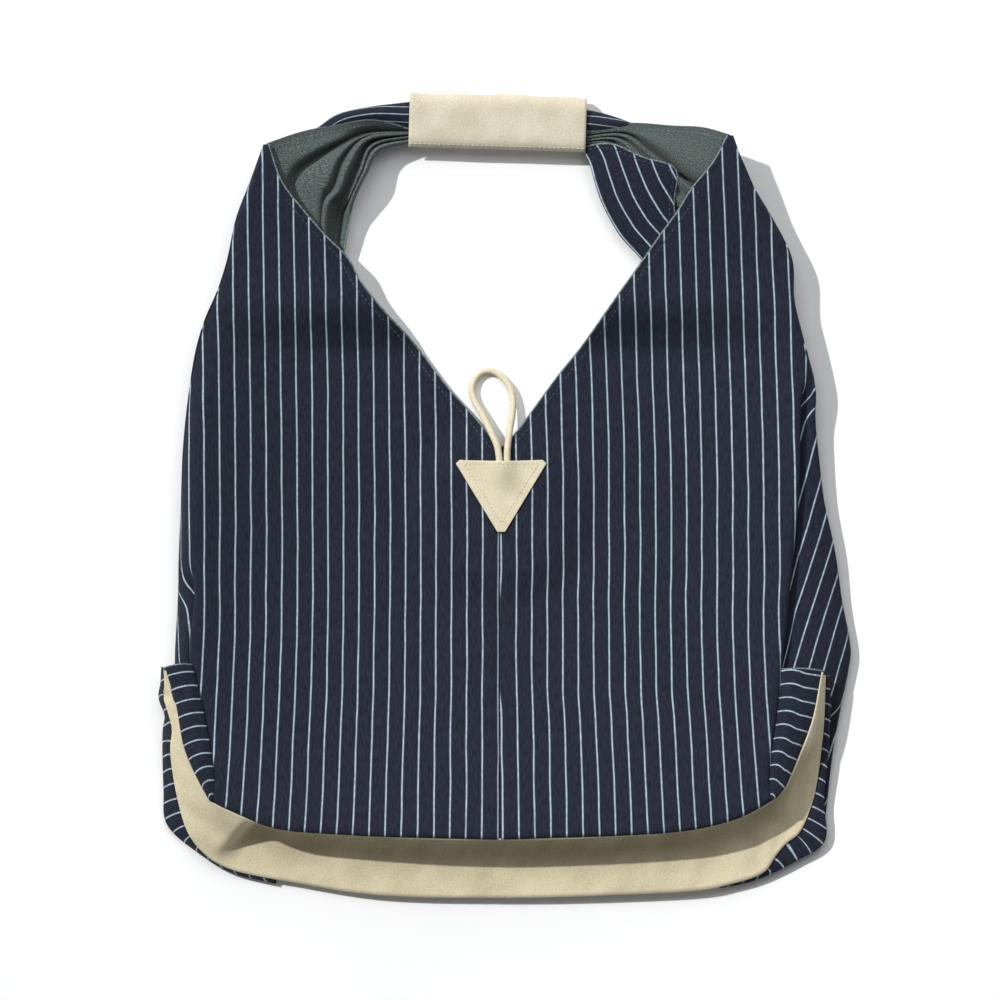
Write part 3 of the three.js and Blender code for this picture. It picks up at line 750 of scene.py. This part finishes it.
# %% Pleats of the straps
left["strap"] = [
    # top hem, then the flat cloth inside it as far as the first crease
    [(-143.2, 212.6, 25), (-122, 219.8, 23), (-101, 224, 21), (-80, 227.2, 18), (-55, 221.5, 11.5)],
    [(-138, 206, 22.5), (-119.5, 214.8, 22), (-100.3, 219.9, 20), (-81, 223.7, 15), (-55, 221.2, 9)],
    [(-130, 197, 21), (-117, 207.5, 21.5), (-101, 215.4, 19.5), (-84, 221.6, 11), (-55, 221, 8)],
    [(-127.5, 194.5, 13), (-115.2, 205, 12), (-99.8, 213.9, 11), (-84.6, 220.6, 8.5), (-55, 220.8, 6.5)],
    # the plain cloth between the first crease and the second
    [(-123, 190, 15.5), (-111.5, 200.5, 18), (-99.2, 210.5, 17.5), (-85.2, 218.8, 11), (-55, 220.6, 8.5)],
    [(-112, 181, 17), (-107, 190, 20), (-100, 205, 19.5), (-85.8, 217.6, 13), (-55, 220.4, 10)],
    [(-109.5, 179.5, 12), (-104.9, 186.5, 11.5), (-98.6, 203.8, 12), (-85.4, 216.9, 9), (-55, 220.2, 7)],
    # a ridge, and the deep valley beside it
    [(-107, 177, 20), (-100.5, 185, 21), (-94, 201, 21.5), (-84, 215.4, 18), (-55, 219.8, 12.2)],
    [(-105.4, 175.5, 11), (-98.4, 183.6, 9), (-91.4, 199, 9), (-82.6, 213.9, 8), (-55, 219.2, 6.5)],
    [(-102, 172.5, 4.5), (-96, 181.8, 7), (-89, 197.3, 8.5), (-81.4, 212.6, 8.5), (-55, 218.6, 6.5)],
    # two narrow pleats, the last one at the hem
    [(-100, 170, 6), (-94.2, 180.9, 14.5), (-87.2, 196.6, 18.5), (-80.3, 211.9, 16.5), (-55, 218, 11.8)],
    [(-98.4, 168, 4.5), (-93.2, 180.4, 9.5), (-86.2, 196, 12), (-79.4, 210.9, 10), (-55, 217, 7)],
    [(-96.6, 165.5, 10), (-92.4, 180, 16), (-85.2, 195.6, 19.5), (-78, 209.7, 16.5), (-55, 216, 11.5)],
    [(-94.7, 163, 10.5), (-91, 179.6, 14), (-83.6, 195.3, 17.5), (-76, 208.6, 14.5), (-55, 214.8, 9.5)],
]
right["strap"] = [
    [(133.8, 217.9, 25.5), (118, 222.3, 23), (100, 223.4, 21), (74, 225.2, 17), (46, 222, 11)],
    [(129, 209, 23), (114.5, 215, 22), (96, 218.5, 20), (73, 221.8, 16), (46, 219.5, 10.5)],
    [(125, 185, 20.5), (109, 197.2, 21), (91.5, 211.4, 19.5), (72.5, 220.4, 15), (46, 218.6, 9)],
    # the long crease, then the pleats that run into the wrap
    [(121.5, 179.5, 7), (106.4, 194.3, 8), (89, 208, 9.5), (72.2, 219.2, 10), (46, 217.8, 6.5)],
    [(118.5, 177.5, 15), (103.6, 192.2, 17), (87, 206.4, 17.5), (70.5, 218, 15.5), (46, 217, 11.5)],
    [(112, 174, 12.5), (99, 188.5, 12.5), (84.5, 205, 12.5), (68.5, 216.8, 10), (46, 216.2, 6.5)],
    [(108, 172.5, 13), (95, 186, 13.5), (81, 203.9, 16), (66.5, 215.8, 14.5), (46, 215.4, 10.5)],
    [(103, 171, 9), (91, 183, 9), (77.5, 202.6, 11), (63.5, 214.6, 9), (46, 214.6, 6.5)],
    [(99, 170, 8), (87.5, 181, 8), (74, 201.2, 11), (61, 213.6, 11.5), (46, 213.9, 9.5)],
    # under the turned edge, round its fold, and back over it to the hem
    [(80, 162, 4.0), (73, 178, 5.5), (64, 195, 6.5), (57, 207, 7.0), (46, 213, 6)],
    [(67.4, 160.3, 7.5), (58.2, 177, 9), (53.6, 190, 10), (50.3, 202, 10), (46.5, 210.4, 8)],
    [(78, 166, 11.5), (70, 181, 13), (62, 193, 13.5), (55.5, 204.5, 13), (46.5, 210.8, 10.5)],
    [(90, 173, 13.5), (86, 188.5, 16), (73, 200, 16), (60, 208.8, 15), (46.5, 211.2, 12)],
    [(100.5, 178, 14), (101.2, 198, 18), (82, 205, 17.5), (63, 213, 16), (46.5, 211.8, 12.5)],
]
# where those lines cross the fold line: which line, its x (none for the side's own) and its height
left["fold_row"] = ((0, 5, 7, 8, 13), (None, -112, -106.8, -105.4, -95.5), (9.0, 13.0, 16.5, 5.0, 7.0))
right["fold_row"] = ((0, 3, 8, 9, 10, 11, 13), (None, 126, 99, 93, 88, 91, 101), (9, 7, 5, 1.2, 4, 7, 8))
left["back_bottom"] = line([
    (-190, -194, 0.5), (-181, -204, 0.5), (-163, -216, 0.5), (-124, -224.5, 0.5), (-78, -231.5, 0.5),
    (CENTRE_X, BACK_BOTTOM_Y, 0.5),
])
right["back_bottom"] = line([
    (179, -202, 0.5), (171, -209, 0.5), (146, -222, 0.5), (116, -228.5, 0.5), (60, -232, 0.5),
    (CENTRE_X, BACK_BOTTOM_Y, 0.5),
])
left["anchor"], right["anchor"] = 13, 10  # the guide along which the strap's stripes are laid
print("strap lines", len(left["strap"]), len(right["strap"]))

# %% [markdown]
# The back lies flat on the table and joins those pleats. Its guides are spread evenly between the line
# under the side fold and the middle seam, and each one runs on into its own hem, ridge or valley.


# %% Back and strap
BACK_COLUMNS = 91


def back_guides(half, under_side):
    count = len(half["strap"])
    numbers, fold_x, fold_z = half["fold_row"]
    fold_x = [under_side(FOLD_MARK)[0] if x is None else x for x in fold_x]
    guides = []
    for i, stations in enumerate(half["strap"]):
        share = i / (count - 1)
        rows = [half["back_bottom"](share)]
        for mark in (0.3, MOUTH_MARK):
            inner = (CENTRE_X, mix(BACK_BOTTOM_Y, BACK_MOUTH_Y, mark / MOUTH_MARK), COTTON / 2)
            rows.append(mix(under_side(mark), np.array(inner), share))
        rows.append((np.interp(i, numbers, fold_x), FOLD_Y, np.interp(i, numbers, fold_z)))
        guides.append(line([*rows, *stations], marks=(0, 0.3, MOUTH_MARK, *STRAP_MARKS)))
    top_hem = line(half["strap"][0], marks=STRAP_MARKS[1:])
    guides[0] = lambda m: np.where((m <= 1)[..., None], under_side(np.minimum(m, 1)), top_hem(m))
    return guides


def back_points(half, under_side):
    marks = np.concatenate([np.linspace(0, 1, ROWS + 1), np.linspace(1, 2, STRAP_ROWS + 1)[1:]])
    u, mark = np.meshgrid(np.linspace(0, 1, BACK_COLUMNS + 1), marks)
    points = loft(back_guides(half, under_side))(u, mark)
    inward = half["out"] * (points[..., 0] - CENTRE_X)
    points[..., 0] = CENTRE_X + half["out"] * np.where(mark < 0.7, np.maximum(inward, 0), inward)
    flat = back_height(points[..., 0], points[..., 1])
    points[:, 1:, 2] = mix(flat, points[..., 2], ease(mark, 0.62, 0.78))[:, 1:]
    points[..., 2] = np.maximum(points[..., 2], COTTON / 2)
    ceiling = front_height(points[..., 0], points[..., 1]) - 1.6 + 12 * ease(points[..., 1], 104, 124)
    points[..., 2] = np.where(mark < FOLD_MARK, np.minimum(points[..., 2], ceiling), points[..., 2])
    return points, mark


print("back rows", ROWS + STRAP_ROWS + 1)

# %% [markdown]
# The map says where each point was on the flat cloth. On the front the stripes run straight up, a little
# wider apart near the bottom where the cloth is stretched over the base. For a hand's width above the
# base the first stripe on the right slips into the middle seam. On the side cloth they run at a
# slant, because the side is pulled in towards the base. Along the strap they follow its lower edge.


# %% Maps of the two halves
def front_map(half, points):
    x, y = points[..., 0], points[..., 1]
    pitch = STRIPE_PITCH + 0.38 * np.clip((-60 - y) / 143, 0, 1) ** 1.5
    leaned = half["out"] * (x - CENTRE_X) + half["lean"] * 18 * np.logaddexp(0, (y - 25) / 18)
    pinched = half["seam_pinch"] * ease(-y, 40, 62) * (1 - ease(-y, 112, 132))
    into_seam = pinched * (0.5 + np.exp(-np.abs(x - CENTRE_X) / 1.4))
    drift = half["seam_pinch"] * 0.7 * ease(-y, 120, 190)
    return np.stack([leaned * STRIPE_PITCH / pitch - half["first_stripe"] - drift + into_seam, y], -1)


def side_map(half, points, at_crease):
    arc = arc_lengths(points, 1)
    shown = ease(arc / arc[:, -1:], 0.05, 0.3)
    below = 8 * np.logaddexp(0, (half["slant_from"] - points[..., 1]) / 8)
    return np.stack([at_crease[:, :1] + arc + half["slant"] * below * shown, points[..., 1]], -1)


STRAP_PHASE = 21.5 * STRIPE_PITCH + 3.6  # the stripes across a strap, counted from its lower edge


def back_map(half, points, mark, at_side):
    arc = arc_lengths(points, 1)
    column = round(half["anchor"] / (len(half["strap"]) - 1) * BACK_COLUMNS)
    tied = STRAP_PHASE + arc - arc[:, column:column + 1]
    start = np.concatenate([at_side, np.full(STRAP_ROWS, at_side[-1])])[:, None]
    across = mix(start + arc, tied, ease(mark, 0.62, 0.86))
    return np.stack([across, arc_lengths(points, 0)], -1)


def half_cloth(name, half):
    front, side, under_side = front_and_side(half)
    back, mark = back_points(half, under_side)
    on_front = front_map(half, front)
    on_side = side_map(half, side, on_front[:, -1])
    bm = bmesh.new()
    add_grid(bm, front, on_front)
    add_grid(bm, side, on_side)
    add_grid(bm, back, back_map(half, back, mark, on_side[:, -1, 0]))
    piece = new_piece(name, bm, [cotton, wrong_side, hem_edge], flip=half["out"] < 0, merge_mm=0.05)
    thicken(piece, COTTON)
    half["front"], half["back"] = front, back
    return piece


for side_name, half in (("left", left), ("right", right)):
    piece = half_cloth(f"{side_name}_cloth", half)
    stands_for = ["front_{}_panel", "back_{}_panel", "{}_side_fold", "front_{}_shoulder", "back_{}_shoulder"]
    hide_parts(*(n.format(side_name) for n in stands_for))
    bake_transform(piece)
    print(piece.name, len(piece.data.polygons), "faces")

# %% [markdown]
# Where the straps turn in to the wrap, the last of the gathered cloth rolls over the top with its stripes
# outside. On each side it is a short strip that rises from behind the top hem, bends over and goes back
# under the strap, and its stripes bend round with it.

# %% Strips of gathered cloth beside the wrap
STRIP_LINES = {
    "left": [
        [(-113, 217.5, 18), (-101, 221, 17.5), (-80, 224.5, 14.5), (-55, 222, 9.5)],
        [(-113.5, 220, 19.5), (-101, 227, 20.5), (-80, 231, 18.5), (-55, 230, 13.0)],
        [(-114, 221.5, 17.5), (-101, 230.3, 17), (-82, 234.9, 14.5), (-55, 238.2, 9.0)],
        [(-113.5, 220, 15), (-100, 228.5, 11), (-80, 231, 7), (-55, 235, 4.0)],
        [(-113, 215, 12), (-98, 218, 7), (-78, 219, 4.5), (-55, 220, 3.2)],
    ],
    "right": [
        [(76, 222.5, 15.5), (66, 221.5, 14), (56, 220, 12), (46, 219, 9.5)],
        [(75, 225, 17), (66, 226, 16.5), (57, 226.5, 15), (46, 226.5, 13.2)],
        [(74.5, 225.6, 14.5), (66, 228.7, 13), (57, 231.4, 11), (46, 233.6, 8.5)],
        [(74, 224.5, 12), (66, 227, 9), (57, 229, 6), (46, 231, 4.0)],
        [(74, 220, 9), (66, 220, 6), (57, 219, 4.5), (46, 218, 3.2)],
    ],
}


GATHER = 2.0  # the cloth is drawn up to half its width, so its stripes lie twice as close


def strip_map(points, u, v):
    across = arc_lengths(points, 1)
    bend = 6.0 * (1 - v) ** 2
    return np.stack([GATHER * (across - across[:, -1:] / 2) + 2.0 - bend, arc_lengths(points, 0)], -1)


for side_name, lines_of_strip in STRIP_LINES.items():
    place = loft([line(points) for points in lines_of_strip])
    finishes = [cotton, wrong_side, hem_edge]
    flip = side_name == "left"
    strip = cloth(f"{side_name}_gathered_strip", place, 40, 50, COTTON, finishes, flip, strip_map)
    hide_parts(f"{side_name}_strap_end")
    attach(strip, "handle")
    print(strip.name, [round(d * 1000) for d in strip.dimensions])

# %% [markdown]
# The base is one strip of canvas. In the middle it hangs from the front's lower edge, which stands well
# above the table, turns in and runs out along the table to the back. At both sides it climbs as a narrow
# tongue between the corner bands. The canvas is stiff, so it only takes a few soft creases at the corners.

# %% Base
BASE_FRONT = [
    (-203.8, -102), (-198, -120), (-193.2, -147), (-186, -164), (-175.8, -180), (-157, -189), (-138.6, -196),
    (-99.6, -199.8), (CENTRE_X, BOTTOM_Y), (104.4, -198), (128, -193.5), (141.6, -189), (160.2, -178.8),
    (167.5, -171), (176.4, -151), (183.6, -132), (189.4, -103),
]
BASE_BACK = [
    (-204.8, -100.2, 14), (-204.3, -110.5, 13.5), (-205, -117.5, 13), (-202, -128, 12), (-199.8, -137, 12),
    (-200.8, -150, 11), (-197, -177, 9.5),
    (-191, -198, 8), (-183.6, -209, 7), (-168.6, -220, 5.5), (-123.6, -230, 4.5), (-77.7, -236.8, 5),
    (CENTRE_X, -238.6, 5.5), (60, -237, 6.5), (116.4, -234, 6.5), (130, -231.5, 6.5), (155, -223, 6.5),
    (162, -213, 6.5), (168, -206, 6.5), (175.5, -200, 6.5), (184, -180, 7.5), (189.6, -144, 9.5),
    (191, -105, 14),
]
base_front_line = line([(x, y, 0) for x, y in BASE_FRONT])
base_back_line = line(BASE_BACK)
BASE_DROP = 1.6


def base_place(u, v):
    front, back = base_front_line(v), base_back_line(v)
    front[..., 2] = front_height(front[..., 0], front[..., 1]) - BASE_DROP
    middle = (ease(v, 0.203, 0.236) * (1 - ease(v, 0.86, 0.93)))[..., None]
    sag = np.where(v < 0.5, 2.0, 9.0 * (1 - ease(v, 0.9, 1)))
    side_tuck = mix(front, back, 0.5) - joined(3 * np.sign(front[..., 0]), 0, sag)
    mid_tuck = joined(front[..., 0], front[..., 1] + 16, 1.7)
    tuck = mix(side_tuck, mid_tuck, middle)
    points = (1 - u[..., None])**2 * front + 2 * (u * (1 - u))[..., None] * tuck + u[..., None]**2 * back
    x, y = points[..., 0], points[..., 1]
    corner = np.exp(-((x + 172) / 22)**2 - ((y + 196) / 20)**2)
    corner = corner + np.exp(-((x - 158) / 24)**2 - ((y + 200) / 18)**2)
    tongue = np.exp(-((x + 200) / 12)**2 - ((y + 117) / 3)**2)
    creases = 1.0 * np.sin((x * 0.5 + y) / 3.4) + 0.7 * np.sin(x / 4.7)
    slow = 0.4 * np.sin(x / 23) * np.sin(math.pi * u)
    points[..., 2] += np.sin(math.pi * u) * creases * corner * 0.9 + slow - 2.2 * tongue
    return points


base = cloth("canvas_base", base_place, 40, 300, CANVAS, [base_canvas])
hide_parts("base_panel")
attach(base, "pouch")
print(base.name, [round(d * 1000) for d in base.dimensions])

# %% [markdown]
# The corner bands are cut across the stripes and sewn between the base strip and each half. In front
# they bulge, and taper to a point at the corner. Behind, they lie between the base and the table. Their
# stripes run crosswise and bow over the bulge.

# %% Corner bands
FRONT_BANDS = {
    "front_left": {
        "inner": [(-175.8, -180), (-174.4, -167), (-176.4, -150), (-181.2, -125), (-187.6, -98.6)],
        "outer": [(-177.2, -179.4), (-186, -164), (-193.2, -147), (-198.4, -120), (-204.6, -100.5)],
        "sunk": 0.2, "rise": 0.3, "bend": 3,
    },
    "front_right": {
        "inner": [(158.8, -178.6), (156.8, -171), (157.8, -152), (161, -129.5), (163.6, -101.5)],
        "outer": [(161.4, -178), (167.5, -171), (176.4, -151), (183.6, -132), (190, -102.5)],
        "sunk": 3.2, "rise": 1.6, "bend": 2,
    },
}
BAND_CROWN = 2.8


def front_band_place(band):
    inner, outer = (line([(x, y, 0) for x, y in band[edge]]) for edge in ("inner", "outer"))

    def place(u, v):
        low, high = inner(v), outer(v)
        points = mix(low, high, u[..., None])
        crown = BAND_CROWN * np.sin(math.pi * np.clip(u * 1.15 + 0.05, 0, 1)) ** 0.8 * ease(v, -0.1, 0.4)
        turned = 3.0 * ease(u, 0.86, 1.0) + band["sunk"] * (1 - ease(u, 0, 0.3)) * ease(v, 0, 0.2)
        points[..., 2] = front_height(points[..., 0], points[..., 1]) + crown - turned
        points[..., 1] += 1.2 * np.sin(math.pi * u) * ease(v, 0.9, 1)
        return points
    return place


def crosswise(band):
    """Stripes across a front band: they rise a little from its inner edge and drop at its outer one."""
    def stripes(points, u, v):
        rise = band["rise"] * np.sin(math.pi * np.clip(u / 0.6, 0, 1)) * ease(v, 0, 0.25)
        bow = rise - mix(5.6, 2.4, v) * u ** band["bend"]
        along = (BAND_TOP_Y - 3.8 - points[..., 1] + bow) * STRIPE_PITCH / 8.1
        return np.stack([along, arc_lengths(points, 1)], -1)
    return stripes


BACK_BANDS = {
    "back_left": [
        (-206.2, -100, 8), (-206.8, -110, 6), (-208, -118, 5), (-204.2, -130, 4.5), (-205.4, -137, 4),
        (-205, -174, 3), (-203.4, -194, 2.5), (-183.6, -212, 2), (-165, -223, 2.4), (-138, -230, 2.8),
    ],
    "back_right": [
        (195.4, -105, 9), (194.2, -130, 8.5), (192.6, -156, 8), (190.6, -180, 6.5), (191, -204.6, 5),
        (174.6, -216, 4.5), (148.8, -228, 4.5), (128, -232.5, 5),
    ],
}
BACK_BAND_SHARES = {"back_left": (0.0, 0.37), "back_right": (1.0, 0.70)}


def back_band_place(name):
    base_edge = base_back_line(np.linspace(*BACK_BAND_SHARES[name], 400)) - (0, 0, 0.8)
    outer = line(BACK_BANDS[name])

    def place(u, v):
        across_from = np.linalg.norm(outer(v[:, :1]) - base_edge, axis=-1).argmin(axis=1)
        inner = base_edge[np.maximum.accumulate(across_from)][:, None]
        points = mix(inner, outer(v), u[..., None])
        points[..., 2] += 1.6 * np.sin(math.pi * u) * (1 - v)
        return points
    return place


def along_edge(points, u, v):
    """Stripes across a back band, counted along its outer edge."""
    return np.stack([arc_lengths(points, 0)[:, -1:] - 2 * u**2 + 2.0, arc_lengths(points, 1)], -1)


def add_band(name, place, stripes, flip):
    band = cloth(name + "_band_cloth", place, 16, 60, COTTON, [cotton, wrong_side, hem_edge], flip, stripes)
    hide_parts(name + "_band")
    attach(band, "pouch")
    print(band.name, [round(d * 1000) for d in band.dimensions])


for name, band in FRONT_BANDS.items():
    add_band(name, front_band_place(band), crosswise(band), name == "front_left")
for name in BACK_BANDS:
    add_band(name, back_band_place(name), along_edge, name == "back_right")

# %% [markdown]
# The handle wrap is a flat canvas sleeve. One end of the canvas is laid over the other on top, and
# stitched down with pale thread, so a second edge shows below the first.

# %% Handle wrap
WRAP_HALF_LENGTH = 53.0
wrap_low, wrap_high = box_mm("handle_wrap")
WRAP_MIDDLE = (wrap_low + wrap_high) / 2
WRAP_TURN = math.radians(-1.7)
WRAP_HALF_WIDTH = 14.6
WRAP_HALF_DEPTH = 6.3


def power(value, exponent):
    return np.sign(value) * np.abs(value) ** exponent


def wrap_place(grow, start, end):
    """Part of a flat oval ring round the straps, from one turn (0 at its far edge) to another."""
    def place(u, v):
        turn = 2 * math.pi * mix(start, end, u)
        along = mix(-WRAP_HALF_LENGTH, WRAP_HALF_LENGTH, v)
        uneven = 0.5 * np.sin(along / 13 + 1) + 0.3 * np.sin(along / 5.3)
        across = (WRAP_HALF_WIDTH + grow) * power(np.cos(turn), 0.42) + uneven * (np.cos(turn) > 0)
        full = 0.8 * np.cos(along / WRAP_HALF_LENGTH * 1.3) + 0.25 * np.sin(along / 8 + across / 6)
        height = (WRAP_HALF_DEPTH + grow) * power(np.sin(turn), 0.75) + full * np.sin(turn)
        x = WRAP_MIDDLE[0] + along * math.cos(WRAP_TURN) - across * math.sin(WRAP_TURN)
        y = WRAP_MIDDLE[1] + along * math.sin(WRAP_TURN) + across * math.cos(WRAP_TURN)
        return joined(x, y, WRAP_MIDDLE[2] + height)
    return place


sleeve = cloth("wrap_sleeve", wrap_place(0, 0, 1), 72, 60, CANVAS, [wrap_canvas], flip=True)
overlap = cloth("wrap_overlap", wrap_place(1.5, -0.06, 0.433), 48, 60, CANVAS, [wrap_canvas], flip=True)
for piece, flat in ((sleeve, (0.106, 0.082)), (overlap, (0.106, 0.045))):
    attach(piece, "handle")
    print(piece.name, [round(d * 1000) for d in piece.dimensions])
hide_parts("handle_wrap")

wrap_seam = line_at_rows(wrap_place(1.5 + CANVAS / 2, 0.365, 0.365)(*grid_of(1, 80))[:, 0])

# %% [markdown]
# The patch on the front is a triangle with its edges turned in and stitched all round. The corners of the
# turnings stick out a little. It swells over the two ends of the loop. The patch on the back has the
# same cut, and carries the button.

# %% Patches
PATCH_X = -2.9  # the middle of the front patch
PATCH_HALF = 27.2
PATCH_TIP_HALF = 2.2
PATCH_TIP_Y = -19.2
PATCH_TOP_Y = 24.0


def patch_place(middle_x, tip_y, top_y, height):
    def place(u, v):
        half_width = mix(PATCH_TIP_HALF, PATCH_HALF, np.minimum(v / 0.95, 1))
        cut = np.clip((v - 0.95) / 0.05, 0, 1)
        x = middle_x + (2 * u - 1) * (half_width - 2.4 * cut)
        y = mix(tip_y, top_y, v) - 0.5 * np.sin(math.pi * u) * cut
        return joined(x, y, height(x, y))
    return place


def over_front(x, y):
    return front_height(x, y) + 1.4 + 3.3 * np.exp(-((x + 1.6) / 7.5)**2) * ease(y, 0, 22)


def under_back(x, y):
    return back_height(x, y) - 1.3


front_place = patch_place(PATCH_X, PATCH_TIP_Y, PATCH_TOP_Y, over_front)
front_patch = cloth("front_patch_canvas", front_place, 60, 60, 0.9, [patch_canvas])
back_place = patch_place(BUTTON_AT[0], -31.4, 10, under_back)
back_patch = cloth("back_patch_canvas", back_place, 40, 40, 0.7, [patch_canvas], flip=True)
for piece, node_name in ((front_patch, "front_patch"), (back_patch, "back_patch")):
    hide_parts(node_name)
    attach(piece, "pouch")
    print(piece.name, [round(d * 1000) for d in piece.dimensions])

# %% [markdown]
# Every free edge of the cotton is a narrow hem, turned twice, so its edge is a thin round roll, and a row
# of stitches runs just inside it. Both follow the edge's own points. They cross the fold line with their
# cloth, so they bend with it.


# %% Hems and stitches
def inset(points, distance, lift):
    """The line on a cloth that lies some millimetres in from its first column."""
    arc = arc_lengths(points, 1)
    rows = [[np.interp(distance, a, row[:, k]) for k in range(3)] for a, row in zip(arc, points)]
    return line_at_rows(np.array(rows) + (0, 0, lift))


def follows_fold(piece):
    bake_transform(piece)
    print(piece.name, len(piece.data.polygons), "faces")


MOUTH_ROW = round(MOUTH_MARK * ROWS)
FOLD_ROW = round(FOLD_MARK * ROWS)
WRAP_ROWS_INSIDE = 4
for side_name, half in (("left", left), ("right", right)):
    mouth_edge = half["front"][MOUTH_ROW:]
    top_hem = half["back"][ROWS:-WRAP_ROWS_INSIDE]
    back_hem = half["back"][FOLD_ROW:-WRAP_ROWS_INSIDE, ::-1]
    edges = [line_at_rows(part[:, 0]) for part in (mouth_edge, top_hem, back_hem)]
    follows_fold(rolled(f"{side_name}_hem_edges", edges[::2], 0.6, hem_edge))
    follows_fold(rolled(f"{side_name}_top_hem", edges[1:2], 0.62, wrong_side))
    up = COTTON / 2 + 0.1
    navy_rows = [inset(mouth_edge[:-12], 5.2, up)]
    pale_rows = [inset(top_hem, 3.6, up)]
    (navy_rows if side_name == "right" else pale_rows).append(inset(back_hem, 3.0, up))
    follows_fold(stitches(f"{side_name}_mouth_stitches", navy_rows, navy_thread))
    follows_fold(stitches(f"{side_name}_strap_stitches", pale_rows, grey_thread, thick=0.4))

# %% [markdown]
# The canvas is sewn with pale thread: one row along the wrap's overlap, and one round the patch. The
# bands' top edges have a fine roll like the other hems.

# %% Stitches on canvas, band tops
wrap_stitches = stitches("wrap_stitches", [wrap_seam], pale_thread, spacing=2.8, long=2.0)
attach(wrap_stitches, "handle")

PATCH_INSET = 2.2
corners = [
    (PATCH_X - PATCH_HALF + 2.2 * PATCH_INSET, PATCH_TOP_Y - PATCH_INSET),
    (PATCH_X, PATCH_TIP_Y + 2.6 * PATCH_INSET),
    (PATCH_X + PATCH_HALF - 2.2 * PATCH_INSET, PATCH_TOP_Y - PATCH_INSET),
]
patch_rows = []
for start, end in zip(corners, corners[1:] + corners[:1]):
    flat_row = mix(np.array(start), np.array(end), np.linspace(0, 1, 40)[:, None])
    patch_rows.append(line_at_rows(joined(
        flat_row[:, 0], flat_row[:, 1], over_front(flat_row[:, 0], flat_row[:, 1]) + 0.62)))
patch_stitches = stitches("patch_stitches", patch_rows, pale_thread, spacing=2.4, long=1.7, thick=0.45)
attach(patch_stitches, "pouch")

band_tops = [
    line_at_rows(front_band_place(band)(*grid_of(16, 60))[-1]) for band in FRONT_BANDS.values()
]
band_hems = rolled("band_top_edges", band_tops, 0.55, hem_edge)
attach(band_hems, "pouch")

# %% [markdown]
# The button and its thread keep their frame shapes. The button is cast resin, a little cloudy, and the
# thread through its holes is the loop's cotton.

# %% Button
button_cotton = plain_speckle("button_thread_cotton", "#c2b795", "#efe6cc", 1.5, 0.6)
for node_name, finish in (("button", resin), ("button_thread", button_cotton)):
    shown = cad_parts[node_name]
    shown.data.materials.clear()
    shown.data.materials.append(finish)
print("button", [round(d * 1000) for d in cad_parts["button"].dimensions])
